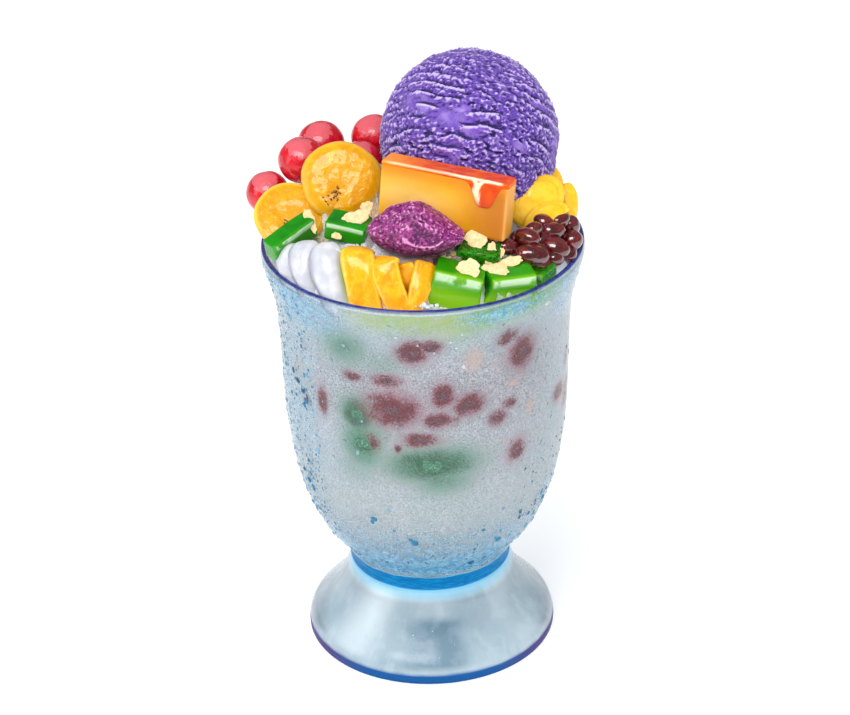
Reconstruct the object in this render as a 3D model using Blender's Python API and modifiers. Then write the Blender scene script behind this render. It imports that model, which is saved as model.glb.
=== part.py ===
"""Halo-halo in a footed glass goblet.

A pressed glass goblet (105 mm across the rim, 147 mm high) filled with shaved
ice and milk, heaped above the rim and topped with a scoop of purple yam ice
cream, a slice of caramel custard, a dollop of yam jam, red cherries, cooked
banana rounds, slices of yellow fruit, white coconut strips, jackfruit strips,
green jelly blocks and sweet red beans.

Frame: metres, +Z up, the foot stands on z = 0. The origin is the middle of the
bounding box's underside. One cherry overhangs the rim on the -X side, so the
glass axis lies AXIS_X to +X of the origin. The front of the dessert is -Y.
"""

import math

import bmesh
import bpy
from mathutils import Euler, Matrix, Vector, noise
from mathutils.bvhtree import BVHTree

MM = 0.001

# ------------------------------------------------------------------ sizes, mm
RIM_R = 52.5  # outer radius of the rim
RIM_Z = 147.1  # height of the goblet
WALL = 2.4  # wall of the bowl
NECK_R = 27.2  # the pinch between bowl and foot
NECK_Z = 29.3
FOOT_R = 42.4  # outer radius of the foot
SECTORS = 40  # facets round the glass and its fill
AXIS_X = 2.45  # glass axis, from the origin
GAP = 0.35  # clearance that neighbouring pieces keep
SCOOP_AT, SCOOP_R = (16.0, 15.6, 174.6), 28.8


# ------------------------------------------------------------------ helpers
for old in list(bpy.data.objects):
    bpy.data.objects.remove(old, do_unlink=True)

parts = bpy.data.collections.new("halo_halo")
bpy.context.scene.collection.children.link(parts)
cutters = bpy.data.collections.new("cutters")
bpy.context.scene.collection.children.link(cutters)
cutters.hide_render = True


def material(name, colour, roughness, transmission=0.0):
    made = bpy.data.materials.new(name)
    made.use_nodes = True
    shader = made.node_tree.nodes["Principled BSDF"]
    shader.inputs["Base Color"].default_value = (*colour, 1.0)
    shader.inputs["Roughness"].default_value = roughness
    shader.inputs["Metallic"].default_value = 0.0
    shader.inputs["Transmission Weight"].default_value = transmission
    made.diffuse_color = (*colour, 1.0)
    return made


GLASS = material("goblet_glass", (0.80, 0.90, 0.95), 0.12, 0.9)
ICE = material("milky_ice", (0.86, 0.89, 0.92), 0.55)
YAM_CREAM = material("yam_ice_cream", (0.20, 0.11, 0.55), 0.6)
CUSTARD = material("custard", (0.93, 0.58, 0.16), 0.35)
CARAMEL = material("caramel", (0.75, 0.12, 0.01), 0.15)
YAM_JAM = material("yam_jam", (0.38, 0.08, 0.34), 0.5)
CHERRY = material("cherry", (0.68, 0.02, 0.04), 0.15)
BANANA = material("banana_in_syrup", (0.92, 0.58, 0.03), 0.2)
FRUIT = material("yellow_fruit", (0.95, 0.63, 0.05), 0.2)
COCONUT = material("coconut", (0.92, 0.92, 0.95), 0.35)
JACKFRUIT = material("jackfruit", (0.95, 0.52, 0.02), 0.2)
JELLY = material("green_jelly", (0.05, 0.45, 0.03), 0.12)
BEAN = material("red_bean", (0.18, 0.02, 0.02), 0.2)


def finish(obj, look, smooth=True):
    """Links an object as a piece, in its material and shading."""
    obj.data.materials.clear()
    obj.data.materials.append(look)
    if obj.name not in parts.objects:
        parts.objects.link(obj)
    if smooth:
        obj.data.shade_smooth()
    return obj


def from_bmesh(name, bm):
    bmesh.ops.recalc_face_normals(bm, faces=bm.faces)
    mesh = bpy.data.meshes.new(name)
    bm.to_mesh(mesh)
    bm.free()
    return bpy.data.objects.new(name, mesh)


def place(obj, at, turn=(0, 0, 0)):
    """at in mm from the glass axis at the foot's plane, turn in degrees."""
    obj.location = Vector((at[0] + AXIS_X, at[1], at[2])) * MM
    obj.rotation_euler = Euler([math.radians(a) for a in turn], "XYZ")
    return obj


def facing(azimuth, elevation, spin=0.0):
    """Euler angles that turn local +Z to a direction. Azimuth 0 is -Y (front)
    and grows towards +X."""
    a, e = math.radians(azimuth), math.radians(elevation)
    way = Vector((math.sin(a) * math.cos(e), -math.cos(a) * math.cos(e), math.sin(e)))
    quat = way.to_track_quat("Z", "Y")
    eul = (quat.to_matrix() @ Matrix.Rotation(math.radians(spin), 3, "Z")).to_euler()
    return tuple(math.degrees(v) for v in eul)


def lerp_profile(table, z):
    """Smooth (Catmull-Rom) radius at height z, from a table of (z, r) rows."""
    rows = sorted(table)
    if z <= rows[0][0]:
        return rows[0][1]
    if z >= rows[-1][0]:
        return rows[-1][1]
    i = max(k for k, row in enumerate(rows) if row[0] <= z)
    i = min(i, len(rows) - 2)
    z0, r0 = rows[i]
    z1, r1 = rows[i + 1]
    before = rows[i - 1] if i else (2 * z0 - z1, 2 * r0 - r1)
    after = rows[i + 2] if i + 2 < len(rows) else (2 * z1 - z0, 2 * r1 - r0)
    m0 = (r1 - before[1]) / (z1 - before[0]) * (z1 - z0)
    m1 = (after[1] - r0) / (after[0] - z0) * (z1 - z0)
    t = (z - z0) / (z1 - z0)
    return (
        (2 * t**3 - 3 * t**2 + 1) * r0
        + (t**3 - 2 * t**2 + t) * m0
        + (-2 * t**3 + 3 * t**2) * r1
        + (t**3 - t**2) * m1
    )


def turned(name, profile, look):
    """Solid of revolution about the glass axis. profile holds (r, z) in mm and
    runs from the inner end on the axis, over the rim, down the outside."""
    bm = bmesh.new()
    points = [bm.verts.new((r * MM, 0, z * MM)) for r, z in profile]
    for a, b in zip(points, points[1:]):
        bm.edges.new((a, b))
    mesh = bpy.data.meshes.new(name)
    bm.to_mesh(mesh)
    bm.free()
    obj = bpy.data.objects.new(name, mesh)
    screw = obj.modifiers.new("turn", "SCREW")
    screw.axis = "Z"
    screw.steps = screw.render_steps = SECTORS
    screw.use_merge_vertices = True
    screw.merge_threshold = 0.00001
    screw.use_smooth_shade = True
    place(obj, (0, 0, 0))
    return finish(obj, look)


def ball(name, look, at, radii, turn=(0, 0, 0), segments=16, rings=10, shape=None):
    """A UV sphere whose radius is scaled by shape(direction), then by radii."""
    bm = bmesh.new()
    bmesh.ops.create_uvsphere(bm, u_segments=segments, v_segments=rings, radius=1.0)
    for v in bm.verts:
        way = v.co.normalized()
        k = shape(way) if shape else 1.0
        v.co = Vector((way.x * radii[0], way.y * radii[1], way.z * radii[2])) * k * MM
    return finish(place(from_bmesh(name, bm), at, turn), look)


def block(name, look, at, size, turn, bevel=0.8, taper=0.0, lean=(0, 0), segments=1):
    """A bevelled block. The taper narrows its top, lean shifts the top sideways."""
    bm = bmesh.new()
    bmesh.ops.create_cube(bm, size=1.0)
    for v in bm.verts:
        top = v.co.z > 0
        k = 1.0 - taper if top else 1.0
        v.co = Vector(
            (
                v.co.x * size[0] * k + (lean[0] if top else 0),
                v.co.y * size[1] * k + (lean[1] if top else 0),
                v.co.z * size[2],
            )
        ) * MM
    obj = place(from_bmesh(name, bm), at, turn)
    soft = obj.modifiers.new("rounding", "BEVEL")
    soft.width = bevel * MM
    soft.segments = segments
    soft.limit_method = "ANGLE"
    finish(obj, look)
    obj.data.set_sharp_from_angle(angle=math.radians(50))
    return obj


def slice_round(name, look, at, radii, thick, turn, bevel=1.6, flat=0.0, sides=16):
    """A round or oval slice of fruit with rounded edges. flat cuts its lower
    part off at that fraction of the radius below the middle."""
    bm = bmesh.new()
    bmesh.ops.create_cone(
        bm, cap_ends=True, segments=sides, radius1=1.0, radius2=0.94, depth=1.0
    )
    for v in bm.verts:
        x, y = v.co.x * radii[0], v.co.y * radii[1]
        if flat and v.co.y < -flat:
            y = -flat * radii[1] + 0.25 * (v.co.y + flat) * radii[1]
        # local +Z is the face that looks out; the slice lies behind z = 0
        v.co = Vector((x, y, (v.co.z - 0.5) * thick)) * MM
    obj = place(from_bmesh(name, bm), at, turn)
    soft = obj.modifiers.new("rounding", "BEVEL")
    soft.width = bevel * MM
    soft.segments = 2
    soft.limit_method = "ANGLE"
    soft.angle_limit = math.radians(40)
    return finish(obj, look)


def spline(points, count):
    """count points evenly along a Catmull-Rom curve through points."""
    rows = [Vector(p) for p in points]
    ends = [rows[0] * 2 - rows[1], *rows, rows[-1] * 2 - rows[-2]]
    out = []
    for k in range(count):
        s = k / (count - 1) * (len(rows) - 1)
        i = min(int(s), len(rows) - 2)
        t = s - i
        p0, p1, p2, p3 = ends[i : i + 4]
        out.append(
            0.5
            * (
                2 * p1
                + (p2 - p0) * t
                + (2 * p0 - 5 * p1 + 4 * p2 - p3) * t * t
                + (3 * p1 - p0 - 3 * p2 + p3) * t**3
            )
        )
    return out


def strip(name, look, path, widths, across, thick, sections=9):
    """A bent strip lofted along path (mm, from the glass axis): an oval-edged
    section, as wide as widths says along its length, lying along across."""
    line = spline(path, sections)
    bm = bmesh.new()
    loops = []
    for k, at in enumerate(line):
        ahead = line[min(k + 1, sections - 1)] - line[max(k - 1, 0)]
        ahead.normalize()
        side = Vector(across) - ahead * ahead.dot(Vector(across))
        side.normalize()
        out = ahead.cross(side)
        s = k / (sections - 1) * (len(widths) - 1)
        i = min(int(s), len(widths) - 2)
        half = (widths[i] + (widths[i + 1] - widths[i]) * (s - i)) / 2
        shrink = 0.72 if k in (0, sections - 1) else 1.0
        ring = []
        for u, w in (
            (-1.0, 0.0),
            (-0.82, 0.85),
            (0.0, 1.0),
            (0.82, 0.85),
            (1.0, 0.0),
            (0.82, -0.85),
            (0.0, -1.0),
            (-0.82, -0.85),
        ):
            p = at + side * (u * half * shrink) + out * (w * thick / 2 * shrink)
            ring.append(bm.verts.new((p.x * MM, p.y * MM, p.z * MM)))
        loops.append(ring)
    for a, b in zip(loops, loops[1:]):
        for k in range(8):
            bm.faces.new((a[k], a[(k + 1) % 8], b[(k + 1) % 8], b[k]))
    bm.faces.new(loops[0][::-1])
    bm.faces.new(loops[-1])
    return finish(place(from_bmesh(name, bm), (0, 0, 0)), look)


def solid_mesh(obj):
    """The object's evaluated mesh in world space, as a bmesh."""
    graph = bpy.context.evaluated_depsgraph_get()
    mesh = bpy.data.meshes.new_from_object(obj.evaluated_get(graph))
    bm = bmesh.new()
    bm.from_mesh(mesh)
    bm.transform(obj.matrix_world)
    bpy.data.meshes.remove(mesh)
    return bm


def make_room(obj, *neighbours):
    """Cuts each neighbour, grown by the clearance, out of a piece it presses on."""
    bpy.context.view_layer.update()
    for other in neighbours:
        bm = solid_mesh(other)
        bm.normal_update()
        for v in bm.verts:
            v.co += v.normal * GAP * 1.3 * MM
        mesh = bpy.data.meshes.new(f"room_{other.name}")
        bm.to_mesh(mesh)
        bm.free()
        cutter = bpy.data.objects.new(f"room_{other.name}_in_{obj.name}", mesh)
        cutters.objects.link(cutter)
        cutter.display_type = "WIRE"
        cutter.hide_render = True
        cut = obj.modifiers.new(f"room_{other.name}", "BOOLEAN")
        cut.operation = "DIFFERENCE"
        cut.solver = "EXACT"
        cut.object = cutter


# ------------------------------------------------------------------ the glass
OUTSIDE = [
    (0.0, 41.9),
    (2.0, FOOT_R),
    (6.0, 41.3),
    (10.0, 37.7),
    (15.0, 33.3),
    (20.0, 30.05),
    (25.5, 27.95),
    (NECK_Z, NECK_R),
    (32.0, 27.75),
    (37.0, 29.75),
    (44.0, 35.6),
    (52.0, 39.55),
    (62.0, 43.0),
    (76.0, 45.7),
    (90.0, 47.05),
    (104.0, 47.5),
    (126.0, 48.45),
    (134.0, 50.0),
    (140.0, 51.7),
    (144.5, 52.7),
    (146.3, RIM_R),
]
INSIDE = [
    (37.4, 18.0),
    (38.6, 24.0),
    (41.0, 28.6),
    (46.0, 33.4),
    (52.0, 37.0),
    (62.0, 40.6),
    (76.0, 43.3),
    (90.0, 44.65),
    (104.0, 45.1),
    (126.0, 46.05),
    (134.0, 47.6),
    (140.0, 49.3),
    (144.5, 50.3),
    (146.3, 50.7),
]


def outer_r(z):
    return lerp_profile(OUTSIDE, z)


def inner_r(z):
    return lerp_profile(INSIDE, z)


bowl_inside = [(0.0, 37.0), (11.0, 37.0)] + [(r, z) for z, r in INSIDE]
lip = [(51.1, 147.0), (51.9, RIM_Z)]
bowl_outside = [(r, z) for z, r in reversed(OUTSIDE)]
under_foot = [
    (39.3, 0.0),
    (38.4, 3.0),
    (36.6, 6.5),
    (33.0, 11.0),
    (28.0, 16.8),
    (22.0, 22.0),
    (11.0, 24.6),
    (0.0, 25.0),
]
glass = turned("glass", bowl_inside + lip + bowl_outside + under_foot, GLASS)

# ------------------------------------------------------------------ toppings
# Yam ice cream: one round scoop whose skirt spreads where it sits.


def scoop_shape(way):
    lumps = 0.022 * noise.noise(way * 3.1 + Vector((4.0, 1.0, 2.0)))
    lumps += 0.012 * noise.noise(way * 7.3)
    drag = 0.012 * math.sin(9.0 * (way.z + 0.35 * way.x) + 2.0 * way.y)
    skirt = 0.03 * math.exp(-(((way.z + 0.42) / 0.16) ** 2))
    bottom = min(0.0, -0.64 / way.z - 1.0) if way.z < -0.64 else 0.0
    return (1.0 + lumps + drag + skirt) * (1.0 + bottom)


ice_cream = ball(
    "ice_cream", YAM_CREAM, SCOOP_AT, (SCOOP_R,) * 3, segments=26, rings=16, shape=scoop_shape
)

# Caramel custard: a slice 43 mm long, 18 mm high and 8 mm deep, leaning on the
# scoop, with its caramel as a layer along the top.
FLAN_TURN = (-5.8, 3.5, -21.9)
FLAN_AT = Vector((7.9, -18.2, 169.1))
flan_way = Euler([math.radians(a) for a in FLAN_TURN], "XYZ").to_matrix()
custard = block(
    "custard",
    CUSTARD,
    FLAN_AT + flan_way @ Vector((0, 0, -1.35)),
    (42.6, 8.2, 15.5),
    FLAN_TURN,
    bevel=0.9,
)
caramel = block(
    "caramel",
    CARAMEL,
    FLAN_AT + flan_way @ Vector((0, 0, 7.9)),
    (42.3, 8.0, 2.3),
    FLAN_TURN,
    bevel=0.8,
)


# Yam jam: a spooned dollop, higher at the back, hollowed at its right front.
def jam_shape(way):
    rough = 0.05 * noise.noise(way * 2.6 + Vector((7.0, 3.0, 1.0)))
    hollow = (way - Vector((0.42, -0.72, 0.12)).normalized()).length
    lip = 0.05 * math.exp(-(((hollow - 0.62) / 0.14) ** 2))
    return 1.0 + rough - 0.20 * math.exp(-((hollow / 0.42) ** 2)) + lip


yam_jam = ball(
    "yam_jam",
    YAM_JAM,
    (-1.9, -30.4, 163.9),
    (15.0, 8.0, 7.6),
    turn=(0, 4, -6),
    segments=18,
    rings=12,
    shape=jam_shape,
)

# Cherries: five, round, a little flattened where the stem was.
CHERRIES = {
    "cherry_1": ((-50.4, 17.6, 156.0), 7.2, (20, -30, 0)),
    "cherry_2": ((-38.9, 19.4, 166.6), 7.8, (10, -25, 30)),
    "cherry_3": ((-33.0, 35.4, 165.0), 7.9, (-15, -10, 60)),
    "cherry_4": ((-15.0, 36.6, 166.4), 7.9, (-10, 20, 10)),
    "cherry_5": ((-19.6, 20.4, 164.4), 7.6, (5, 15, 80)),
}


def cherry_shape(way):
    dimple = 0.10 * math.exp(-(((1.0 - way.z) / 0.06) ** 2))
    return 1.0 - dimple + 0.012 * noise.noise(way * 2.0)


cherries = [
    ball(name, CHERRY, at, (r, r, r * 0.97), turn, segments=14, rings=9, shape=cherry_shape)
    for name, (at, r, turn) in CHERRIES.items()
]

# Banana rounds, cooked in syrup: two thick slices facing the front.
banana_1 = slice_round(
    "banana_1", BANANA, (-42.6, -1.6, 157.6), (11.9, 11.6), 5.2, facing(-4, 50, 10)
)
banana_2 = slice_round(
    "banana_2", BANANA, (-25.6, 0.6, 168.2), (13.2, 12.8), 7.0, facing(2, 34, 0)
)

# Yellow fruit slices at the right: three upright ones and a low one.
fruit_1 = slice_round(
    "fruit_1", FRUIT, (37.2, -7.0, 162.4), (10.2, 7.4), 5.2, facing(10, 36, 38)
)
fruit_2 = slice_round(
    "fruit_2", FRUIT, (41.6, 7.0, 160.6), (7.6, 5.4), 4.0, facing(20, 30, 80)
)
fruit_3 = slice_round(
    "fruit_3", FRUIT, (48.2, 1.6, 157.2), (6.6, 3.4), 4.2, facing(30, 24, 78), bevel=1.3
)
fruit_4 = slice_round(
    "fruit_4", FRUIT, (40.0, -11.4, 158.2), (8.2, 5.4), 3.6, facing(12, 40, 22), bevel=1.2, flat=0.15
)

# Coconut: three curled white strips fanned over the front left of the rim.
coconut_1 = strip(
    "coconut_1",
    COCONUT,
    [(-40.6, -24.2, 144.6), (-42.5, -22.9, 148.2), (-41.6, -22.4, 149.8), (-39.4, -22.2, 149.2)],
    (5.4, 7.6, 7.0),
    (0.93, -0.35, 0.05),
    2.0,
)
coconut_2 = strip(
    "coconut_2",
    COCONUT,
    [(-35.2, -32.0, 144.8), (-37.4, -28.0, 151.8), (-36.4, -24.6, 155.0), (-33.6, -22.6, 154.6)],
    (6.6, 9.6, 8.6),
    (0.95, -0.28, 0.05),
    2.0,
)
coconut_3 = strip(
    "coconut_3",
    COCONUT,
    [(-27.2, -39.5, 145.0), (-29.9, -35.2, 152.4), (-29.9, -30.3, 156.8), (-27.2, -27.8, 156.6)],
    (7.6, 9.6, 8.2),
    (0.96, -0.25, 0.05),
    2.0,
)

# Jackfruit: four glossy strips standing against the front of the rim, the
# second and third the two legs of one loop.
jackfruit_1 = strip(
    "jackfruit_1",
    JACKFRUIT,
    [(-18.0, -44.4, 144.6), (-19.4, -41.4, 153.6), (-20.4, -36.6, 159.0), (-19.6, -32.4, 158.6)],
    (9.0, 9.4, 8.8),
    (0.97, -0.22, -0.05),
    2.6,
)
jackfruit_2 = strip(
    "jackfruit_2",
    JACKFRUIT,
    [(-7.6, -46.2, 144.8), (-10.0, -43.8, 152.4), (-11.4, -40.6, 157.6), (-10.8, -38.6, 159.4)],
    (6.8, 7.8, 7.0),
    (0.96, 0.10, 0.28),
    2.2,
)
jackfruit_3 = strip(
    "jackfruit_3",
    JACKFRUIT,
    [(-5.4, -40.0, 151.4), (-5.6, -38.8, 154.4), (-6.2, -38.2, 157.0)],
    (5.4, 5.8, 5.0),
    (0.94, -0.20, -0.20),
    1.8,
    sections=7,
)
jackfruit_4 = strip(
    "jackfruit_4",
    JACKFRUIT,
    [(-2.8, -45.6, 145.6), (-1.4, -43.4, 150.0), (0.5, -39.4, 154.2), (1.0, -36.6, 155.6)],
    (5.2, 6.8, 6.8),
    (0.92, 0.10, -0.38),
    2.2,
)

# Green jelly: blocks cut about 14 mm wide, bedded at different slants.
jelly_1 = block(
    "jelly_1", JELLY, (-42.2, -15.0, 155.6), (15.2, 6.0, 6.4), (7.2, -15.6, 38.9), bevel=0.6
)
jelly_2 = block(
    "jelly_2", JELLY, (-23.4, -18.8, 160.2), (13.4, 9.8, 6.4), (3.6, 8.4, -14.1), bevel=0.7
)
jelly_3 = block(
    "jelly_3", JELLY, (10.9, -38.4, 149.6), (14.4, 9.8, 10.8), (1.2, 13.0, -8.0), bevel=0.7
)
jelly_4 = block(
    "jelly_4", JELLY, (26.7, -35.3, 146.9), (13.6, 8.6, 10.0), (14.0, 3.0, 20.0), bevel=0.7
)
jelly_5 = block(
    "jelly_5", JELLY, (16.0, -26.6, 154.6), (10.6, 9.6, 7.0), (12.0, 8.0, 0.0), bevel=0.7
)
jelly_6 = block(
    "jelly_6", JELLY, (37.4, -26.6, 144.5), (6.0, 7.6, 6.4), (0.0, 0.0, -35.0), bevel=0.6
)

# Sweet red beans: one heap at the right, its outline that of the beans in it.
# Each row is a bean's middle, its half length, width and height, and its turn.
BEANS = [
    ((26.8, -26.4, 155.6), (3.6, 2.6, 2.6), 10),
    ((32.7, -24.0, 157.7), (4.6, 2.9, 2.9), -40),
    ((35.2, -19.0, 158.0), (3.0, 2.2, 2.2), 20),
    ((41.1, -15.4, 155.4), (4.2, 2.9, 2.8), 10),
    ((47.6, -6.4, 152.6), (3.3, 2.9, 3.6), 60),
    ((41.6, -20.0, 151.8), (4.9, 3.7, 3.5), -20),
    ((48.2, -13.6, 151.2), (3.2, 2.8, 3.0), 60),
    ((34.6, -28.4, 153.6), (4.8, 3.0, 2.9), -5),
    ((41.8, -23.4, 149.6), (2.8, 2.4, 2.4), 30),
]
bean_heap = ball(
    "bean_heap", BEAN, (38.0, -19.0, 153.0), (15.6, 5.6, 3.2), turn=(0, 9, 47.6), segments=16, rings=8
)
for number, (middle, half, turn) in enumerate(BEANS, 1):
    bean = ball(f"bean_{number}", BEAN, middle, half, turn=(0, 0, turn), segments=10, rings=6)
    parts.objects.unlink(bean)
    cutters.objects.link(bean)
    bean.hide_render = True
    bean.display_type = "WIRE"
    join = bean_heap.modifiers.new(bean.name, "BOOLEAN")
    join.operation = "UNION"
    join.solver = "EXACT"
    join.object = bean

toppings = [
    ice_cream,
    custard,
    caramel,
    yam_jam,
    *cherries,
    banana_1,
    banana_2,
    fruit_1,
    fruit_2,
    fruit_3,
    fruit_4,
    coconut_1,
    coconut_2,
    coconut_3,
    jackfruit_1,
    jackfruit_2,
    jackfruit_3,
    jackfruit_4,
    jelly_1,
    jelly_2,
    jelly_3,
    jelly_4,
    jelly_5,
    jelly_6,
    bean_heap,
]

# ------------------------------------------------------------------ the ice
# Shaved ice in milk fills the bowl to just inside its wall and rises in a heap
# that is highest under the scoop and behind the bananas. Its top is lowered
# under each topping bedded in it.
SKIRT_Z = 138.0  # the fill follows the wall up to here


def heap_height(x, y):
    r = math.hypot(x, y)
    edge = max(0.0, 1.0 - (r / 49.9) ** 14)
    rise = 17.0 * (1.0 - min(1.0, r / 49.6) ** 2.4)
    behind = 13.0 * math.exp(-((x + 30.0) ** 2 + (y - 24.0) ** 2) / 338.0) * edge
    rough = 1.2 * noise.noise(Vector((x, y, 3.0)) * 0.11) * edge
    return 146.6 + rise + behind + rough


bpy.context.view_layer.update()
soup = bmesh.new()
for topping in toppings:
    bm = solid_mesh(topping)
    mesh = bpy.data.meshes.new("soup")
    bm.to_mesh(mesh)
    bm.free()
    soup.from_mesh(mesh)
    bpy.data.meshes.remove(mesh)
under = BVHTree.FromBMesh(soup)
soup.free()

STEP = 1.5
REACH = 36
lowest = {}
for i in range(-REACH, REACH + 1):
    for j in range(-REACH, REACH + 1):
        x, y = i * STEP, j * STEP
        hit = under.ray_cast(Vector((x + AXIS_X, y, 60.0)) * MM, Vector((0, 0, 1)))[0]
        if hit is not None:
            lowest[i, j] = hit.z / MM


def bedded(x, y, reach):
    """Height of the heap, lowered under whatever lies within reach of (x, y)."""
    top = heap_height(x, y)
    span = int(reach / STEP) + 1
    i0, j0 = round(x / STEP), round(y / STEP)
    for i in range(i0 - span, i0 + span + 1):
        for j in range(j0 - span, j0 + span + 1):
            z = lowest.get((i, j))
            if z is not None and math.hypot(i * STEP - x, j * STEP - y) <= reach + STEP:
                top = min(top, z - 0.6)
    return max(top, SKIRT_Z + 0.5)


bm = bmesh.new()
side_z = [37.45, 38.6, 41.0, 46.0, 52.0, 62.0, 76.0, 90.0, 104.0, 126.0, 134.0, SKIRT_Z]
side = [(inner_r(z) - GAP - 0.15 - 0.3 * (z < 50), z + (0.3 if z < 40 else 0.0)) for z in side_z]
tops = [49.0, 46.4, 43.4, 40.2, 36.8, 33.2, 29.4, 25.2, 20.8, 16.0, 10.8, 5.4]
rings = []
for r, z in side:
    rings.append(
        [
            bm.verts.new(
                (
                    r * math.cos(2 * math.pi * k / SECTORS) * MM,
                    r * math.sin(2 * math.pi * k / SECTORS) * MM,
                    z * MM,
                )
            )
            for k in range(SECTORS)
        ]
    )
for n, r in enumerate(tops):
    inward = r - (tops[n + 1] if n + 1 < len(tops) else 0.0)
    outward = tops[n - 1] - r if n else 1.0
    reach = math.hypot(max(inward, outward), 2 * math.pi * r / SECTORS)
    ring = []
    for k in range(SECTORS):
        x = r * math.cos(2 * math.pi * k / SECTORS)
        y = r * math.sin(2 * math.pi * k / SECTORS)
        ring.append(bm.verts.new((x * MM, y * MM, bedded(x, y, reach) * MM)))
    rings.append(ring)
for a, b in zip(rings, rings[1:]):
    for k in range(SECTORS):
        n = (k + 1) % SECTORS
        bm.faces.new((a[k], a[n], b[n], b[k]))
bottom = bm.verts.new((0, 0, (side[0][1]) * MM))
crown = bm.verts.new((0, 0, bedded(0, 0, 5.4) * MM))
for k in range(SECTORS):
    n = (k + 1) % SECTORS
    bm.faces.new((rings[0][n], rings[0][k], bottom))
    bm.faces.new((rings[-1][k], rings[-1][n], crown))
shaved_ice = finish(place(from_bmesh("shaved_ice", bm), (0, 0, 0)), ICE)

# ------------------------------------------------------------------ fitting
# Pieces pressed into one another give way by the clearance.
make_room(ice_cream, custard, caramel, fruit_1, fruit_2)
make_room(fruit_1, fruit_4)
make_room(banana_2, banana_1)
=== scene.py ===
"""Looks of the halo-halo in its footed goblet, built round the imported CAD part.

All measures below are millimetres from the glass axis at the foot's plane,
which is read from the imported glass. The front of the dessert is -Y.
"""

import math

import bpy
import numpy as np
from mathutils import Euler, Matrix, Vector
from mathutils.bvhtree import BVHTree


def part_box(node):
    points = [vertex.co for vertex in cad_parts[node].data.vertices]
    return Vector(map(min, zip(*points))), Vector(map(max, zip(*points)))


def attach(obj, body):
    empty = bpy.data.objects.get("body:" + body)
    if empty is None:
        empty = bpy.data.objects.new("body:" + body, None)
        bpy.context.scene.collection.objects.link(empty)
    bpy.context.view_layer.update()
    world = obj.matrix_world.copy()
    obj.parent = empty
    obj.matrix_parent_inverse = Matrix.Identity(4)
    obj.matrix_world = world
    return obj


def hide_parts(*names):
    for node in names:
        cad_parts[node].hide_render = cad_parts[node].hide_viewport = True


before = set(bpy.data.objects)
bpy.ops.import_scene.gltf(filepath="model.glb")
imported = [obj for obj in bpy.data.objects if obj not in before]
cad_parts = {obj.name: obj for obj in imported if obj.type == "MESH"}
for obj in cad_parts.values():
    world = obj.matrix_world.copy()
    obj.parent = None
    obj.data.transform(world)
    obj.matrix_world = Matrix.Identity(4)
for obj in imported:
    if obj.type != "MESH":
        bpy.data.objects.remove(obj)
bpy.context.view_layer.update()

MM = 0.001
g_lo, g_hi = (Vector(c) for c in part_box("glass"))
OFF = np.array([(g_lo.x + g_hi.x) / 2, (g_lo.y + g_hi.y) / 2, g_lo.z])
SCALE = (g_hi.z - g_lo.z) / 0.1471  # 1.0 at the size it was drawn
UNIT = MM * SCALE
rng = np.random.default_rng(20)


# ------------------------------------------------------------------ noise
def _hash(i, j, k, seed):
    h = (
        i.astype(np.uint32) * np.uint32(73856093)
        ^ j.astype(np.uint32) * np.uint32(19349663)
        ^ k.astype(np.uint32) * np.uint32(83492791)
        ^ np.uint32((seed * 2654435761) & 0xFFFFFFFF)
    )
    h ^= h >> np.uint32(13)
    h *= np.uint32(0x5BD1E995)
    h ^= h >> np.uint32(15)
    h *= np.uint32(0x2C1B3C6D)
    h ^= h >> np.uint32(12)
    return h


def perlin(P, seed=0):
    """Gradient noise, about -1 to 1, at the rows of P."""
    P = np.asarray(P, float)
    base = np.floor(P)
    f = P - base
    i, j, k = base.astype(np.int64).T
    u = f * f * f * (f * (f * 6 - 15) + 10)
    out = np.zeros(len(P))
    for dx in (0, 1):
        wx = u[:, 0] if dx else 1 - u[:, 0]
        for dy in (0, 1):
            wy = u[:, 1] if dy else 1 - u[:, 1]
            for dz in (0, 1):
                wz = u[:, 2] if dz else 1 - u[:, 2]
                h = _hash(i + dx, j + dy, k + dz, seed)
                gx = (h & np.uint32(1023)) / 511.5 - 1
                gy = ((h >> np.uint32(10)) & np.uint32(1023)) / 511.5 - 1
                gz = ((h >> np.uint32(20)) & np.uint32(1023)) / 511.5 - 1
                out += wx * wy * wz * (gx * (f[:, 0] - dx) + gy * (f[:, 1] - dy) + gz * (f[:, 2] - dz))
    return out * 1.25


def fbm(P, octaves=3, seed=0, gain=0.5):
    out, size, amp = 0.0, 1.0, 1.0
    for n in range(octaves):
        out = out + amp * perlin(np.asarray(P) * size + 7.3 * n, seed + n)
        size, amp = size * 2.03, amp * gain
    return out


def cells(P, seed=0):
    """Distances to the nearest and second nearest of scattered points."""
    P = np.asarray(P, float)
    base = np.floor(P)
    i, j, k = base.astype(np.int64).T
    f1 = np.full(len(P), 9.0)
    f2 = np.full(len(P), 9.0)
    for dx in (-1, 0, 1):
        for dy in (-1, 0, 1):
            for dz in (-1, 0, 1):
                h = _hash(i + dx, j + dy, k + dz, seed)
                px = base[:, 0] + dx + (h & np.uint32(1023)) / 1023
                py = base[:, 1] + dy + ((h >> np.uint32(10)) & np.uint32(1023)) / 1023
                pz = base[:, 2] + dz + ((h >> np.uint32(20)) & np.uint32(1023)) / 1023
                d = np.sqrt((px - P[:, 0]) ** 2 + (py - P[:, 1]) ** 2 + (pz - P[:, 2]) ** 2)
                closer = d < f1
                f2 = np.where(closer, f1, np.minimum(f2, d))
                f1 = np.where(closer, d, f1)
    return f1, f2


def step(a, b, x):
    t = np.clip((np.asarray(x, float) - a) / (b - a), 0, 1)
    return t * t * (3 - 2 * t)


# ------------------------------------------------------------------ meshes
def turn_matrix(turn):
    return np.array(Euler([math.radians(a) for a in turn], "XYZ").to_matrix())


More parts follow.
